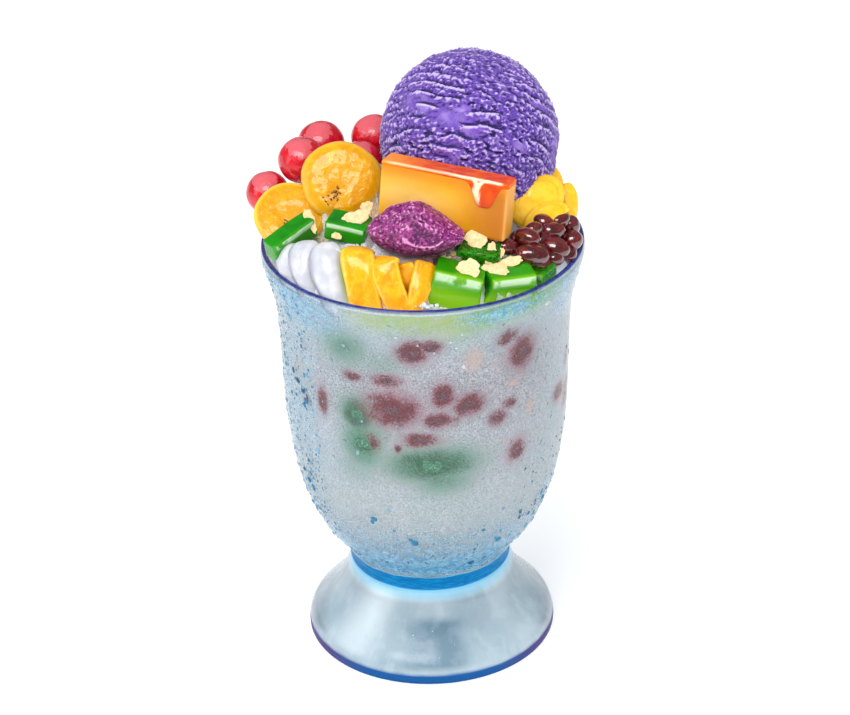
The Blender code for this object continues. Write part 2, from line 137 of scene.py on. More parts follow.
def facing(azimuth, elevation, spin=0.0):
    """Rotation that takes local +Z to a direction; azimuth 0 is the front."""
    a, e = math.radians(azimuth), math.radians(elevation)
    way = Vector((math.sin(a) * math.cos(e), -math.cos(a) * math.cos(e), math.sin(e)))
    quat = way.to_track_quat("Z", "Y")
    return np.array(quat.to_matrix() @ Matrix.Rotation(math.radians(spin), 3, "Z"))


def polar(azimuth, r, z):
    """A point of the goblet's frame by azimuth from the front, towards +X."""
    a = np.radians(azimuth)
    return np.stack([r * np.sin(a), -r * np.cos(a), z + 0 * a], -1)


def tris(F):
    F = np.asarray(F, np.int64)
    if F.shape[1] == 3:
        return F
    return np.concatenate([F[:, [0, 1, 2]], F[:, [0, 2, 3]]])


def normals_of(V, F):
    T = tris(F)
    n = np.cross(V[T[:, 1]] - V[T[:, 0]], V[T[:, 2]] - V[T[:, 0]])
    out = np.zeros_like(V)
    for c in range(3):
        np.add.at(out, T[:, c], n)
    return out / np.maximum(np.linalg.norm(out, axis=1), 1e-12)[:, None]


def soften(values, F, times):
    """The per-point values, averaged with their neighbours' many times over."""
    T = tris(F)
    a = np.concatenate([T[:, 0], T[:, 1], T[:, 2]])
    b = np.concatenate([T[:, 1], T[:, 2], T[:, 0]])
    n = len(values)
    count = np.bincount(a, minlength=n) + np.bincount(b, minlength=n) + 1e-9
    for _ in range(times):
        values = 0.3 * values + 0.7 * (np.bincount(a, values[b], n) + np.bincount(b, values[a], n)) / count
    return values


def outward(V, F):
    """The faces, turned over if the closed mesh is inside out."""
    T = tris(F)
    a, b, c = V[T[:, 0]], V[T[:, 1]], V[T[:, 2]]
    inside_out = np.einsum("ij,ij->i", a, np.cross(b, c)).sum() < 0
    return F[:, ::-1] if inside_out else F


def piece(name, V, F, look, replaces=(), slot=None, marks=None, flat=False):
    """A piece from points in mm and faces; marks are per-point numbers that
    its material reads."""
    V = np.asarray(V, float)
    F = outward(V, np.asarray(F))
    mesh = bpy.data.meshes.new(name)
    P = V * UNIT + OFF
    mesh.vertices.add(len(P))
    mesh.vertices.foreach_set("co", P.astype(np.float32).ravel())
    mesh.loops.add(F.size)
    mesh.loops.foreach_set("vertex_index", np.ascontiguousarray(F, np.int32).ravel())
    mesh.polygons.add(len(F))
    mesh.polygons.foreach_set("loop_start", np.arange(0, F.size, F.shape[1], dtype=np.int32))
    mesh.polygons.foreach_set("use_smooth", np.full(len(F), not flat))
    mesh.update(calc_edges=True)
    mesh.validate()
    for mark, values in (marks or {}).items():
        held = mesh.attributes.new(mark, "FLOAT", "POINT")
        held.data.foreach_set("value", np.asarray(values, np.float32))
    mesh.materials.append(look)
    obj = bpy.data.objects.new(name, mesh)
    bpy.context.scene.collection.objects.link(obj)
    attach(obj, "root")
    if replaces:
        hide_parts(*replaces)
    return obj


class Pile:
    """Many small closed meshes joined in one piece."""

    def __init__(self):
        self.V, self.F, self.marks, self.count = [], [], {}, 0

    def add(self, V, F, **marks):
        F = tris(outward(V, F))
        self.V.append(V)
        self.F.append(F + self.count)
        for k, v in marks.items():
            self.marks.setdefault(k, []).append(np.broadcast_to(np.asarray(v, float), (len(V),)))
        self.count += len(V)

    def make(self, name, look, **more):
        V, F = np.concatenate(self.V), np.concatenate(self.F)
        marks = {k: np.concatenate(v) for k, v in self.marks.items()}
        mesh_piece = piece(name, V, F, look, marks=marks, **more)
        return mesh_piece


def ball_grid(n):
    """Directions over a sphere, from a cube with n x n faces a side."""
    t = np.tan(np.linspace(-1, 1, n + 1) * math.pi / 4)
    a, b = np.meshgrid(t, t, indexing="ij")
    a, b, one = a.ravel(), b.ravel(), np.ones(a.size)
    sides = [
        (one, a, b), (-one, b, a), (b, one, a), (a, -one, b), (a, b, one), (b, a, -one),
    ]
    V = np.concatenate([np.stack(s, -1) for s in sides])
    i, j = np.meshgrid(np.arange(n), np.arange(n), indexing="ij")
    q = (i * (n + 1) + j).ravel()
    face = np.stack([q, q + n + 1, q + n + 2, q + 1], -1)
    F = np.concatenate([face + s * (n + 1) ** 2 for s in range(6)])
    V /= np.linalg.norm(V, axis=1)[:, None]
    _, first, index = np.unique(np.round(V * 1e6).astype(np.int64), axis=0, return_index=True, return_inverse=True)
    return V[first], index.reshape(-1)[F]


def boxed(size, rad, n):
    """A rounded block as a dense closed mesh: points, faces and the flat
    block's own coordinates from -1 to 1."""
    half = np.array(size) / 2.0

    def ticks(h, count):
        bend = h - rad * np.array([0.0, 0.08, 0.3, 0.62, 1.0])
        core = np.linspace(-(h - rad), h - rad, max(2, count))[1:-1]
        return np.concatenate([-bend, core, bend[::-1]])

    T = [ticks(half[k], n[k]) for k in range(3)]
    Vs, Fs, base = [], [], 0
    for axis in range(3):
        u, v = [k for k in range(3) if k != axis]
        for side in (-1, 1):
            a, b = np.meshgrid(T[u], T[v], indexing="ij")
            P = np.zeros((a.size, 3))
            P[:, u], P[:, v], P[:, axis] = a.ravel(), b.ravel(), side * half[axis]
            i, j = np.meshgrid(np.arange(len(T[u]) - 1), np.arange(len(T[v]) - 1), indexing="ij")
            q = (i * len(T[v]) + j).ravel()
            f = np.stack([q, q + len(T[v]), q + len(T[v]) + 1, q + 1], -1)
            normal_up = {0: 1, 1: -1, 2: 1}[axis] * side
            Fs.append((f if normal_up > 0 else f[:, ::-1]) + base)
            Vs.append(P)
            base += len(P)
    V, F = np.concatenate(Vs), np.concatenate(Fs)
    _, first, index = np.unique(np.round(V * 1e4).astype(np.int64), axis=0, return_index=True, return_inverse=True)
    V, F = V[first], index.reshape(-1)[F]
    own = V / half
    core = np.clip(V, -(half - rad), half - rad)
    d = V - core
    length = np.maximum(np.linalg.norm(d, axis=1), 1e-9)[:, None]
    return core + d / length * rad, F, own


def around(rows, cols, close=True):
    """Quads of a rows x cols grid whose columns go round."""
    i, j = np.meshgrid(np.arange(rows - 1), np.arange(cols), indexing="ij")
    n = (j + 1) % cols
    return np.stack([i * cols + j, i * cols + n, (i + 1) * cols + n, (i + 1) * cols + j], -1).reshape(-1, 4)


def fans(F, rows, cols, first, last):
    """The grid's faces as triangles, closed by a point at either end."""
    j = np.arange(cols)
    n = (j + 1) % cols
    end = (rows - 1) * cols
    return np.concatenate(
        [
            tris(F),
            np.stack([np.full(cols, first), n, j], -1),
            np.stack([np.full(cols, last), end + j, end + n], -1),
        ]
    )


def spline(points, count):
    rows = np.array(points, float)
    ends = np.concatenate([[rows[0] * 2 - rows[1]], rows, [rows[-1] * 2 - rows[-2]]])
    s = np.linspace(0, len(rows) - 1, count)
    i = np.minimum(s.astype(int), len(rows) - 2)
    t = (s - i)[:, None]
    p0, p1, p2, p3 = ends[i], ends[i + 1], ends[i + 2], ends[i + 3]
    return 0.5 * (2 * p1 + (p2 - p0) * t + (2 * p0 - 5 * p1 + 4 * p2 - p3) * t * t + (3 * p1 - p0 - 3 * p2 + p3) * t**3)


def lerp_profile(table, z):
    rows = sorted(table)
    if z <= rows[0][0]:
        return rows[0][1]
    if z >= rows[-1][0]:
        return rows[-1][1]
    i = min(max(k for k, row in enumerate(rows) if row[0] <= z), len(rows) - 2)
    z0, r0 = rows[i]
    z1, r1 = rows[i + 1]
    before = rows[i - 1] if i else (2 * z0 - z1, 2 * r0 - r1)
    after = rows[i + 2] if i + 2 < len(rows) else (2 * z1 - z0, 2 * r1 - r0)
    m0 = (r1 - before[1]) / (z1 - before[0]) * (z1 - z0)
    m1 = (after[1] - r0) / (after[0] - z0) * (z1 - z0)
    t = (z - z0) / (z1 - z0)
    return (2 * t**3 - 3 * t**2 + 1) * r0 + (t**3 - 2 * t**2 + t) * m0 + (-2 * t**3 + 3 * t**2) * r1 + (t**3 - t**2) * m1


# ------------------------------------------------------------------ materials
def srgb(code):
    code = code.lstrip("#")
    c = [int(code[k : k + 2], 16) / 255 for k in (0, 2, 4)]
    return tuple(v / 12.92 if v <= 0.04045 else ((v + 0.055) / 1.055) ** 2.4 for v in c)


class Look:
    """A node material put together by short calls."""

    def __init__(self, name):
        self.mat = bpy.data.materials.new(name)
        self.mat.use_nodes = True
        self.tree = self.mat.node_tree
        self.tree.nodes.clear()
        self.out = self.tree.nodes.new("ShaderNodeOutputMaterial")
        self._coord = None

    def put(self, socket, value):
        if isinstance(value, bpy.types.NodeSocket):
            self.tree.links.new(value, socket)
        elif isinstance(value, (tuple, list)) and socket.type == "RGBA" and len(value) == 3:
            socket.default_value = (*value, 1.0)
        else:
            socket.default_value = value

    def node(self, kind, props=None, **sockets):
        made = self.tree.nodes.new("ShaderNode" + kind)
        for key, value in (props or {}).items():
            setattr(made, key, value)
        for key, value in sockets.items():
            self.put(made.inputs[key.replace("_", " ")], value)
        return made

    def at(self, scale=1.0, stretch=(1, 1, 1)):
        """Object coordinates in mm, times scale."""
        if self._coord is None:
            self._coord = self.node("TexCoord").outputs["Object"]
        made = self.node("VectorMath", {"operation": "MULTIPLY"})
        self.put(made.inputs[0], self._coord)
        made.inputs[1].default_value = tuple(scale * s / UNIT for s in stretch)
        return made.outputs[0]

    def noise(self, per_mm, detail=3.0, rough=0.5, warp=0.0, stretch=(1, 1, 1)):
        made = self.node("TexNoise", Vector=self.at(per_mm, stretch), Scale=1.0, Detail=detail, Roughness=rough, Distortion=warp)
        return made.outputs["Fac"]

    def cells(self, per_mm, feature="F1", stretch=(1, 1, 1), randomness=1.0):
        made = self.node("TexVoronoi", {"feature": feature}, Vector=self.at(per_mm, stretch), Scale=1.0, Randomness=randomness)
        return made.outputs["Distance"]

    def mark(self, name):
        return self.node("Attribute", {"attribute_name": name, "attribute_type": "GEOMETRY"}).outputs["Fac"]

    def calc(self, op, a, b=None, c=None, clamp=False):
        made = self.node("Math", {"operation": op, "use_clamp": clamp})
        self.put(made.inputs[0], a)
        if b is not None:
            self.put(made.inputs[1], b)
        if c is not None:
            self.put(made.inputs[2], c)
        return made.outputs[0]

    def span(self, value, lo, hi, to_lo=0.0, to_hi=1.0, smooth=True):
        made = self.node("MapRange", {"interpolation_type": "SMOOTHSTEP" if smooth else "LINEAR"})
        self.put(made.inputs["Value"], value)
        made.inputs["From Min"].default_value = lo
        made.inputs["From Max"].default_value = hi
        made.inputs["To Min"].default_value = to_lo
        made.inputs["To Max"].default_value = to_hi
        return made.outputs["Result"]

    def mix(self, fac, a, b, kind="MIX"):
        made = self.node("Mix", {"data_type": "RGBA", "blend_type": kind})
        self.put(made.inputs[0], fac)
        self.put(made.inputs[6], a)
        self.put(made.inputs[7], b)
        return made.outputs[2]

    def ramp(self, fac, *stops):
        made = self.node("ValToRGB")
        self.put(made.inputs[0], fac)
        elements = made.color_ramp.elements
        while len(elements) < len(stops):
            elements.new(0.5)
        for element, (place, colour) in zip(elements, stops):
            element.position = place
            element.color = (*colour, 1.0)
        return made.outputs[0]

    def bump(self, height, distance, strength=1.0, normal=None):
        made = self.node("Bump", Height=height, Distance=distance * UNIT, Strength=strength)
        if normal is not None:
            self.put(made.inputs["Normal"], normal)
        return made.outputs["Normal"]

    def shade(self, **sockets):
        made = self.node("BsdfPrincipled", **sockets)
        return made.outputs[0]

    def blend(self, fac, a, b):
        made = self.node("MixShader")
        self.put(made.inputs[0], fac)
        self.put(made.inputs[1], a)
        self.put(made.inputs[2], b)
        return made.outputs[0]

    def done(self, shader):
        self.put(self.out.inputs["Surface"], shader)
        return self.mat


WHITE = (1.0, 1.0, 1.0)


def look_goblet():
    k = Look("frosted_blue_glass")
    navy, azure, bead, blot = (k.mark(m) for m in ("navy", "azure", "bead", "blot"))
    inside, frost = k.mark("inside"), k.mark("frost")
    grain = k.noise(2.6, 2.0, 0.6)
    fine = k.cells(1.5)
    mottle = k.noise(0.10, 2.0)
    pale = k.mix(k.span(mottle, 0.35, 0.65), srgb("#E3F2F8"), srgb("#EDF2FB"))
    tint = k.mix(azure, pale, srgb("#2FA8EE"))
    tint = k.mix(k.mark("mist"), k.mix(k.calc("MAXIMUM", azure, 0.0), srgb("#C9DCE6"), tint), tint)
    tint = k.mix(bead, tint, srgb("#3E78D8"))
    # painted dark edge: a navy line round the rim in place of its dark internal reflection
    tint = k.mix(navy, tint, srgb("#2A3590"))
    specks = k.calc("MULTIPLY", k.span(grain, 0.50, 0.66), frost)
    rough = k.calc("ADD", k.calc("MULTIPLY", frost, 0.16), 0.05)
    normal = k.bump(k.calc("MULTIPLY", k.calc("ADD", grain, k.calc("MULTIPLY", fine, 0.6)), frost), 0.10, 0.8)
    clear = k.shade(Base_Color=tint, Transmission_Weight=1.0, Roughness=rough, IOR=1.45, Specular_IOR_Level=0.4, Normal=normal)
    purple = k.mark("purple")
    own = k.mix(k.span(k.noise(0.07, 3.0), 0.35, 0.7), srgb("#8FA2AC"), srgb("#A4B2BA"))
    own = k.mix(k.span(k.noise(0.16, 3.0, 0.55, 0.3, (1, 1, 0.12)), 0.45, 0.65, 0.0, 0.35), own, srgb("#BACAD0"))
    # painted dark reflection on the front of the foot
    own = k.mix(k.mark("shade"), own, k.mix(k.span(k.noise(0.25, 3.0), 0.4, 0.6), srgb("#527082"), srgb("#667E90")))
    # painted reflection: pale broad patches on the foot
    own = k.mix(k.mark("pale_reflection"), own, srgb("#D3DFE4"))
    own = k.mix(k.mark("mist"), own, srgb("#A8BCC6"))
    own = k.mix(k.span(azure, 0.0, 0.5), own, srgb("#7CC4E2"))
    own = k.mix(k.span(azure, 0.5, 1.0), own, k.mix(k.span(k.noise(0.9, 2.0, 0.5, 0.0, (0.3, 0.3, 3)), 0.45, 0.65), srgb("#0068A2"), srgb("#0284C2")))
    bead_own = k.mix(purple, srgb("#084E8C"), srgb("#483672"))
    own = k.mix(bead, own, bead_own)
    own = k.mix(blot, own, k.mix(k.span(k.noise(0.8, 3.0), 0.4, 0.6), srgb("#3F9FD8"), srgb("#6FC3EA")))
    # painted dark edge round the rim, in navy
    own = k.mix(navy, own, k.mix(k.span(k.noise(0.7, 3.0), 0.35, 0.65), srgb("#1C2060"), srgb("#34408C")))
    dots = k.calc("ADD", k.calc("MULTIPLY", k.calc("ADD", k.noise(1.1, 2.0, 0.6), k.noise(2.2, 1.0)), 0.5), k.calc("MULTIPLY", k.mark("dots"), 0.16))
    dots = k.calc("MULTIPLY", k.span(dots, 0.56, 0.61), k.span(k.mark("dots"), 0.02, 0.25, 0.0, 0.85))
    own = k.mix(dots, own, k.mix(k.span(k.noise(0.5, 2.0), 0.4, 0.6), srgb("#2B84B4"), srgb("#74B4D2")))
    flat = k.shade(Base_Color=own, Roughness=0.5, Specular_IOR_Level=0.04)
    body = k.shade(Base_Color=own, Roughness=0.22, Specular_IOR_Level=0.3, Coat_Weight=0.25, Coat_Roughness=0.08, Normal=normal)
    opaque = k.calc("ADD", k.mark("body"), k.calc("MULTIPLY", specks, 0.10), clamp=True)
    body = k.blend(k.span(k.calc("MAXIMUM", azure, bead), 0.6, 0.9, 0.0, 0.9), body, flat)
    opaque = k.calc("MAXIMUM", opaque, dots)
    both = k.blend(opaque, clear, body)
    light = k.node("LightPath").outputs["Is Shadow Ray"]
    through = k.node("BsdfTransparent", Color=(0.93, 0.96, 0.98)).outputs[0]
    return k.done(k.blend(light, both, through))


def look_drops():
    k = Look("water_drops")
    tone = k.mark("tone")
    colour = k.mix(tone, srgb("#DDF2FA"), k.mix(k.span(k.noise(0.08, 2.0), 0.4, 0.6), srgb("#185E86"), srgb("#3890BA")))
    normal = k.bump(k.noise(1.5, 2.0), 0.05, 0.3)
    tinted = k.shade(Base_Color=colour, Transmission_Weight=0.5, Roughness=0.04, IOR=1.33, Normal=normal)
    clear = k.shade(Base_Color=(0.97, 0.99, 1.0), Transmission_Weight=1.0, Roughness=0.02, IOR=1.33, Normal=normal)
    drop = k.blend(k.span(tone, 0.05, 0.5), clear, tinted)
    light = k.node("LightPath").outputs["Is Shadow Ray"]
    through = k.node("BsdfTransparent", Color=(0.9, 0.95, 0.98)).outputs[0]
    return k.done(k.blend(light, drop, through))


def look_ice():
    """Milky shaved ice; through the glass it shows what is sunk in it, hazed."""
    k = Look("milky_shaved_ice")
    red, deep, green, forest, peach, lime, cool, beige, top = (
        k.mark(m) for m in ("red", "deep", "green", "forest", "peach", "lime", "cool", "beige", "top")
    )
    g1, g2, g3 = k.noise(1.7, 3.0, 0.62), k.noise(3.4, 2.0, 0.6), k.noise(0.22, 3.0)
    grains = k.calc("ADD", k.calc("MULTIPLY", g1, 0.6), k.calc("MULTIPLY", g2, 0.4))
    jitter = k.calc("SUBTRACT", grains, 0.5)

    def broken(mask, lo, hi, amount):
        moved = k.calc("ADD", mask, k.calc("MULTIPLY", jitter, amount))
        return k.span(moved, lo, hi)

    base = k.mix(cool, srgb("#A8A6AA"), srgb("#AABFC6"))
    base = k.mix(beige, base, srgb("#ACB5B2"))
    base = k.mix(k.span(g3, 0.35, 0.7), base, k.mix(0.35, base, srgb("#B2ACB4")))
    base = k.mix(k.span(grains, 0.44, 0.58), base, k.mix(0.5, base, WHITE))
    base = k.mix(k.calc("MULTIPLY", k.span(g2, 0.42, 0.30), 0.55), base, srgb("#748290"))
    base = k.mix(k.calc("MULTIPLY", lime, k.span(k.noise(0.35, 3.0), 0.25, 0.7, 0.5, 1.0)), base, k.mix(k.mark("lime_hue"), srgb("#B4C66E"), srgb("#84BE5C")))
    base = k.mix(k.calc("MULTIPLY", k.mark("murk"), k.span(g2, 0.54, 0.42, 0.0, 0.8)), base, srgb("#76686E"))
    base = k.mix(k.calc("MULTIPLY", broken(peach, 0.2, 0.9, 0.9), 0.75), base, srgb("#E0B7A6"))
    base = k.mix(k.calc("MULTIPLY", broken(green, 0.12, 0.95, 0.8), 0.9), base, srgb("#4F9470"))
    base = k.mix(k.calc("MULTIPLY", broken(forest, 0.30, 0.85, 1.5), 0.92), base, srgb("#075024"))
    base = k.mix(k.calc("MULTIPLY", broken(red, 0.18, 0.9, 1.1), 0.85), base, srgb("#A85868"))
    base = k.mix(broken(deep, 0.35, 0.62, 1.9), base, k.mix(k.span(g2, 0.4, 0.6), srgb("#3C000E"), srgb("#8C1026")))
    snow = k.mix(k.span(grains, 0.40, 0.60), srgb("#D3DBEA"), srgb("#F5F8FC"))
    snow = k.mix(k.calc("MULTIPLY", k.mark("green_wet"), 0.85), snow, k.mix(k.span(g1, 0.4, 0.6), srgb("#6FA82A"), srgb("#B4DC6A")))
    snow = k.mix(k.calc("MULTIPLY", k.mark("gold_wet"), 0.75), snow, k.mix(k.span(g1, 0.4, 0.6), srgb("#D08A1C"), srgb("#F3C766")))
    # painted shade: dark red on the ice under the jam
    snow = k.mix(k.calc("MULTIPLY", k.mark("jam_shadow"), 0.9), snow, k.mix(k.span(g1, 0.4, 0.6), srgb("#4A0E1E"), srgb("#8C3A4C")))
    base = k.mix(top, base, snow)
    normal = k.bump(grains, 0.45, 0.9)
    return k.done(
        k.shade(Base_Color=base, Roughness=0.5, Specular_IOR_Level=0.45, Subsurface_Weight=0.15, Subsurface_Radius=(1.2, 1.2, 1.3), Subsurface_Scale=0.001, Normal=normal)
    )


def look_grains():
    k = Look("ice_grains")
    tone = k.noise(0.9, 2.0)
    colour = k.mix(k.span(tone, 0.35, 0.65), srgb("#D9E3F1"), WHITE)
    return k.done(k.shade(Base_Color=colour, Roughness=0.22, IOR=1.31, Transmission_Weight=0.25, Coat_Weight=0.4, Normal=k.bump(k.noise(2.5), 0.1, 0.5)))


def look_yam_cream():
    k = Look("purple_yam_ice_cream")
    low, smear = k.mark("low"), k.mark("smear")
    n1, n2 = k.noise(0.55, 4.0, 0.6), k.noise(2.8, 3.0, 0.6)
    base = k.mix(k.span(n1, 0.32, 0.68), srgb("#502898"), srgb("#6840AE"))
    base = k.mix(k.span(n2, 0.5, 0.72, 0.0, 0.5), base, srgb("#9270C4"))
    base = k.mix(k.calc("MULTIPLY", smear, 0.6), base, k.mix(k.span(k.noise(0.14, 3.0), 0.4, 0.62), srgb("#6E44B0"), srgb("#A288CE")))
    # painted highlight on the crumbs' tops and painted shade in the pits, both from the low mark
    base = k.mix(k.span(low, 0.62, 0.95, 0.0, 0.9), base, srgb("#C9B6E8"))
    base = k.mix(k.span(low, 0.47, 0.18, 0.0, 0.96), base, srgb("#1E0858"))
    rough = k.span(smear, 0.0, 1.0, 0.55, 0.38)
    normal = k.bump(k.calc("ADD", k.calc("MULTIPLY", n2, k.span(smear, 0.2, 1.0, 1.0, 0.35)), k.calc("MULTIPLY", k.cells(1.5), k.span(smear, 0.2, 1.0, 0.7, 0.1))), 0.40, 0.8)
    return k.done(
        k.shade(Base_Color=base, Roughness=rough, Specular_IOR_Level=0.55, Sheen_Weight=0.3, Sheen_Roughness=0.35, Sheen_Tint=(0.86, 0.80, 1.0), Normal=normal)
    )


def look_custard():
    k = Look("egg_custard")
    up, along = k.mark("up"), k.mark("along")
    n1, n2 = k.noise(0.12, 3.0, 0.5, 0.6), k.noise(1.1, 3.0)
    base = k.mix(k.span(up, -1.0, 0.2), srgb("#F4AE12"), srgb("#F2B834"))
    base = k.mix(k.span(up, 0.1, 1.0), base, srgb("#EA900E"))
    base = k.mix(k.span(along, -0.1, 0.95, 0.0, 0.85), base, srgb("#CC7A0E"))
    base = k.mix(k.calc("MULTIPLY", k.span(along, 0.1, 0.85, 0.0, 0.55), k.span(along, 0.985, 0.965)), base, srgb("#A65608"))
    base = k.mix(k.calc("MULTIPLY", k.span(up, 0.45, 1.05), k.span(n1, 0.3, 0.7, 0.4, 1.0)), base, srgb("#E88410"))
    base = k.mix(k.calc("MULTIPLY", k.mark("pale"), k.span(n1, 0.25, 0.7, 0.5, 1.0)), base, srgb("#F5CE86"))
    base = k.mix(k.span(k.cells(0.9), 0.16, 0.05, 0.0, 0.35), base, srgb("#DE9A20"))
    normal = k.bump(k.calc("ADD", n2, k.span(k.cells(0.9), 0.2, 0.0, 0.0, -0.6)), 0.10, 0.5)
    return k.done(
        k.shade(Base_Color=base, Roughness=0.38, Specular_IOR_Level=0.25, Coat_Weight=0.12, Coat_Roughness=0.12, Subsurface_Weight=0.25, Subsurface_Radius=(2.2, 1.3, 0.5), Subsurface_Scale=0.001, Normal=normal)
    )


def look_caramel():
    k = Look("caramel_glaze")
    n1 = k.noise(0.16, 3.0, 0.5, 0.8)
    base = k.mix(k.span(n1, 0.35, 0.65), srgb("#CE3E00"), srgb("#E45E00"))
    base = k.mix(k.span(k.mark("along"), -0.2, -1.0), base, srgb("#F58E22"))
    base = k.mix(k.mark("deep"), base, srgb("#C03202"))
    base = k.mix(k.mark("lines"), base, srgb("#F59A3A"))
    # painted highlight: a cream strip along the front edge and a forked streak over the drip
    base = k.mix(k.mark("edge_highlight"), base, srgb("#FBE3BE"))
    normal = k.bump(k.noise(0.35, 3.0, 0.5, 0.5, (1, 2.5, 1)), 0.25, 0.5)
    return k.done(
        k.shade(Base_Color=base, Roughness=0.25, Specular_IOR_Level=0.12, Coat_Weight=0.3, Coat_Roughness=0.04, Subsurface_Weight=0.2, Subsurface_Radius=(2.0, 0.6, 0.2), Subsurface_Scale=0.001, Normal=normal)
    )


def look_jam():
    k = Look("yam_jam_paste")
    n1, n2 = k.noise(0.35, 4.0, 0.6), k.noise(2.4, 3.0, 0.65)
    base = k.mix(k.span(n1, 0.35, 0.65), srgb("#761562"), srgb("#942C7A"))
    base = k.mix(k.span(n2, 0.60, 0.74, 0.0, 0.6), base, srgb("#D08ABC"))
    # painted highlight on raised grains and the lip, painted shade in the pits and the hollow
    base = k.mix(k.span(k.mark("low"), 0.60, 0.95, 0.0, 0.85), base, srgb("#D590C0"))
    base = k.mix(k.span(k.mark("low"), 0.46, 0.12, 0.0, 0.92), base, srgb("#3F0A3C"))
    base = k.mix(k.span(k.cells(0.55), 0.14, 0.06), base, srgb("#2F0A38"))
    # painted shade over the lower side
    base = k.mix(k.mark("under"), base, srgb("#3A0A22"))
    normal = k.bump(k.calc("ADD", n2, n1), 0.25, 0.8)
    return k.done(
        k.shade(Base_Color=base, Roughness=0.34, Specular_IOR_Level=0.4, Coat_Weight=0.25, Coat_Roughness=0.2, Subsurface_Weight=0.08, Subsurface_Radius=(1.2, 0.5, 1.0), Subsurface_Scale=0.001, Normal=normal)
    )


def look_cherry():
    k = Look("syrup_cherry")
    n1 = k.noise(0.22, 3.0, 0.55, 0.4)
    base = k.mix(k.span(n1, 0.35, 0.65), srgb("#BC061C"), srgb("#D61228"))
    # painted highlight: a ragged dusty pink patch on the side that faces the key lamp
    pink_highlight = k.calc("ADD", k.mark("up"), k.calc("MULTIPLY", k.calc("SUBTRACT", k.noise(0.3, 4.0, 0.55, 0.8), 0.5), 0.5))
    base = k.mix(k.span(pink_highlight, 0.77, 0.80, 0.0, 0.75), base, srgb("#DB6A74"))
    base = k.mix(k.calc("MULTIPLY", k.mark("stem"), 0.6), base, srgb("#9C0E20"))
    normal = k.bump(k.calc("ADD", k.noise(0.5, 3.0, 0.55, 0.5), k.calc("MULTIPLY", k.cells(0.45), 0.4)), 0.55, 0.6)
    return k.done(
        k.shade(Base_Color=base, Roughness=0.25, Specular_IOR_Level=0.3, Coat_Weight=0.6, Coat_Roughness=0.06, Coat_IOR=1.5, Subsurface_Weight=0.2, Subsurface_Radius=(2.5, 0.4, 0.3), Subsurface_Scale=0.001, Normal=normal)
    )


def look_banana():
    k = Look("banana_in_syrup")
    rim, core, pale = k.mark("rim"), k.mark("core"), k.mark("pale")
    n1, n2 = k.noise(0.25, 4.0, 0.6, 0.6), k.noise(1.3, 3.0, 0.6)
    base = k.mix(k.span(n1, 0.35, 0.65), srgb("#D89404"), srgb("#E6A60C"))
    base = k.mix(k.calc("MULTIPLY", pale, k.span(n1, 0.44, 0.60)), base, srgb("#F2C558"))
    base = k.mix(k.calc("MULTIPLY", core, k.span(n2, 0.3, 0.6, 0.55, 1.0)), base, srgb("#E5A01A"))
    # pale rim ring; on the small slice it is mostly a painted highlight on its upper-left side
    base = k.mix(rim, base, srgb("#FACB48"))
    base = k.mix(k.mark("line"), base, srgb("#E29A0C"))
    base = k.mix(k.calc("MULTIPLY", k.mark("seedy"), k.span(k.cells(0.75, stretch=(1, 1, 0.6)), 0.24, 0.12)), base, srgb("#6A3008"))
    normal = k.bump(k.calc("ADD", n1, k.calc("MULTIPLY", n2, 0.35)), 0.7, 0.5)
    return k.done(
        k.shade(Base_Color=base, Roughness=0.3, Specular_IOR_Level=0.2, Coat_Weight=0.5, Coat_Roughness=0.06, Subsurface_Weight=0.25, Subsurface_Radius=(2.4, 1.3, 0.3), Subsurface_Scale=0.001, Normal=normal)
    )


def look_fruit():
    k = Look("yellow_fruit_slices")
    n1, n2 = k.noise(0.3, 3.0, 0.55, 0.5), k.noise(1.2, 3.0)
    base = k.mix(k.span(n1, 0.35, 0.65), srgb("#F4BA1C"), srgb("#F8C83A"))
    base = k.mix(k.mark("rim"), base, srgb("#FBE9A6"))
    base = k.mix(k.mark("line"), base, srgb("#E9A514"))
    normal = k.bump(k.calc("ADD", n1, k.calc("MULTIPLY", n2, 0.3)), 0.4, 0.5)
    return k.done(
        k.shade(Base_Color=base, Roughness=0.3, Specular_IOR_Level=0.2, Coat_Weight=0.5, Coat_Roughness=0.05, Subsurface_Weight=0.3, Subsurface_Radius=(2.4, 1.4, 0.3), Subsurface_Scale=0.001, Normal=normal)
    )


def look_coconut():
    k = Look("white_coconut_gel")
    fold, wet = k.mark("fold"), k.mark("wet")
    n1 = k.noise(0.25, 3.0)
    base = k.mix(k.span(n1, 0.35, 0.7), srgb("#BCBEC6"), srgb("#D2D3D8"))
    base = k.mix(k.span(k.noise(0.5, 3.0, 0.5, 0.4, (1, 1, 0.3)), 0.54, 0.72, 0.0, 0.3), base, srgb("#B4B5C2"))
    # painted shade: grey-lilac in the creases between the lobes
    base = k.mix(k.calc("MULTIPLY", fold, 0.9), base, srgb("#8E8CA2"))
    base = k.mix(wet, base, srgb("#B9D08A"))
    normal = k.bump(k.noise(0.7, 3.0, 0.5, 0.0, (1, 1, 0.3)), 0.12, 0.5)
    return k.done(
        k.shade(Base_Color=base, Roughness=0.32, Coat_Weight=0.35, Coat_Roughness=0.15, Subsurface_Weight=0.3, Subsurface_Radius=(1.6, 1.6, 1.8), Subsurface_Scale=0.001, Normal=normal)
    )


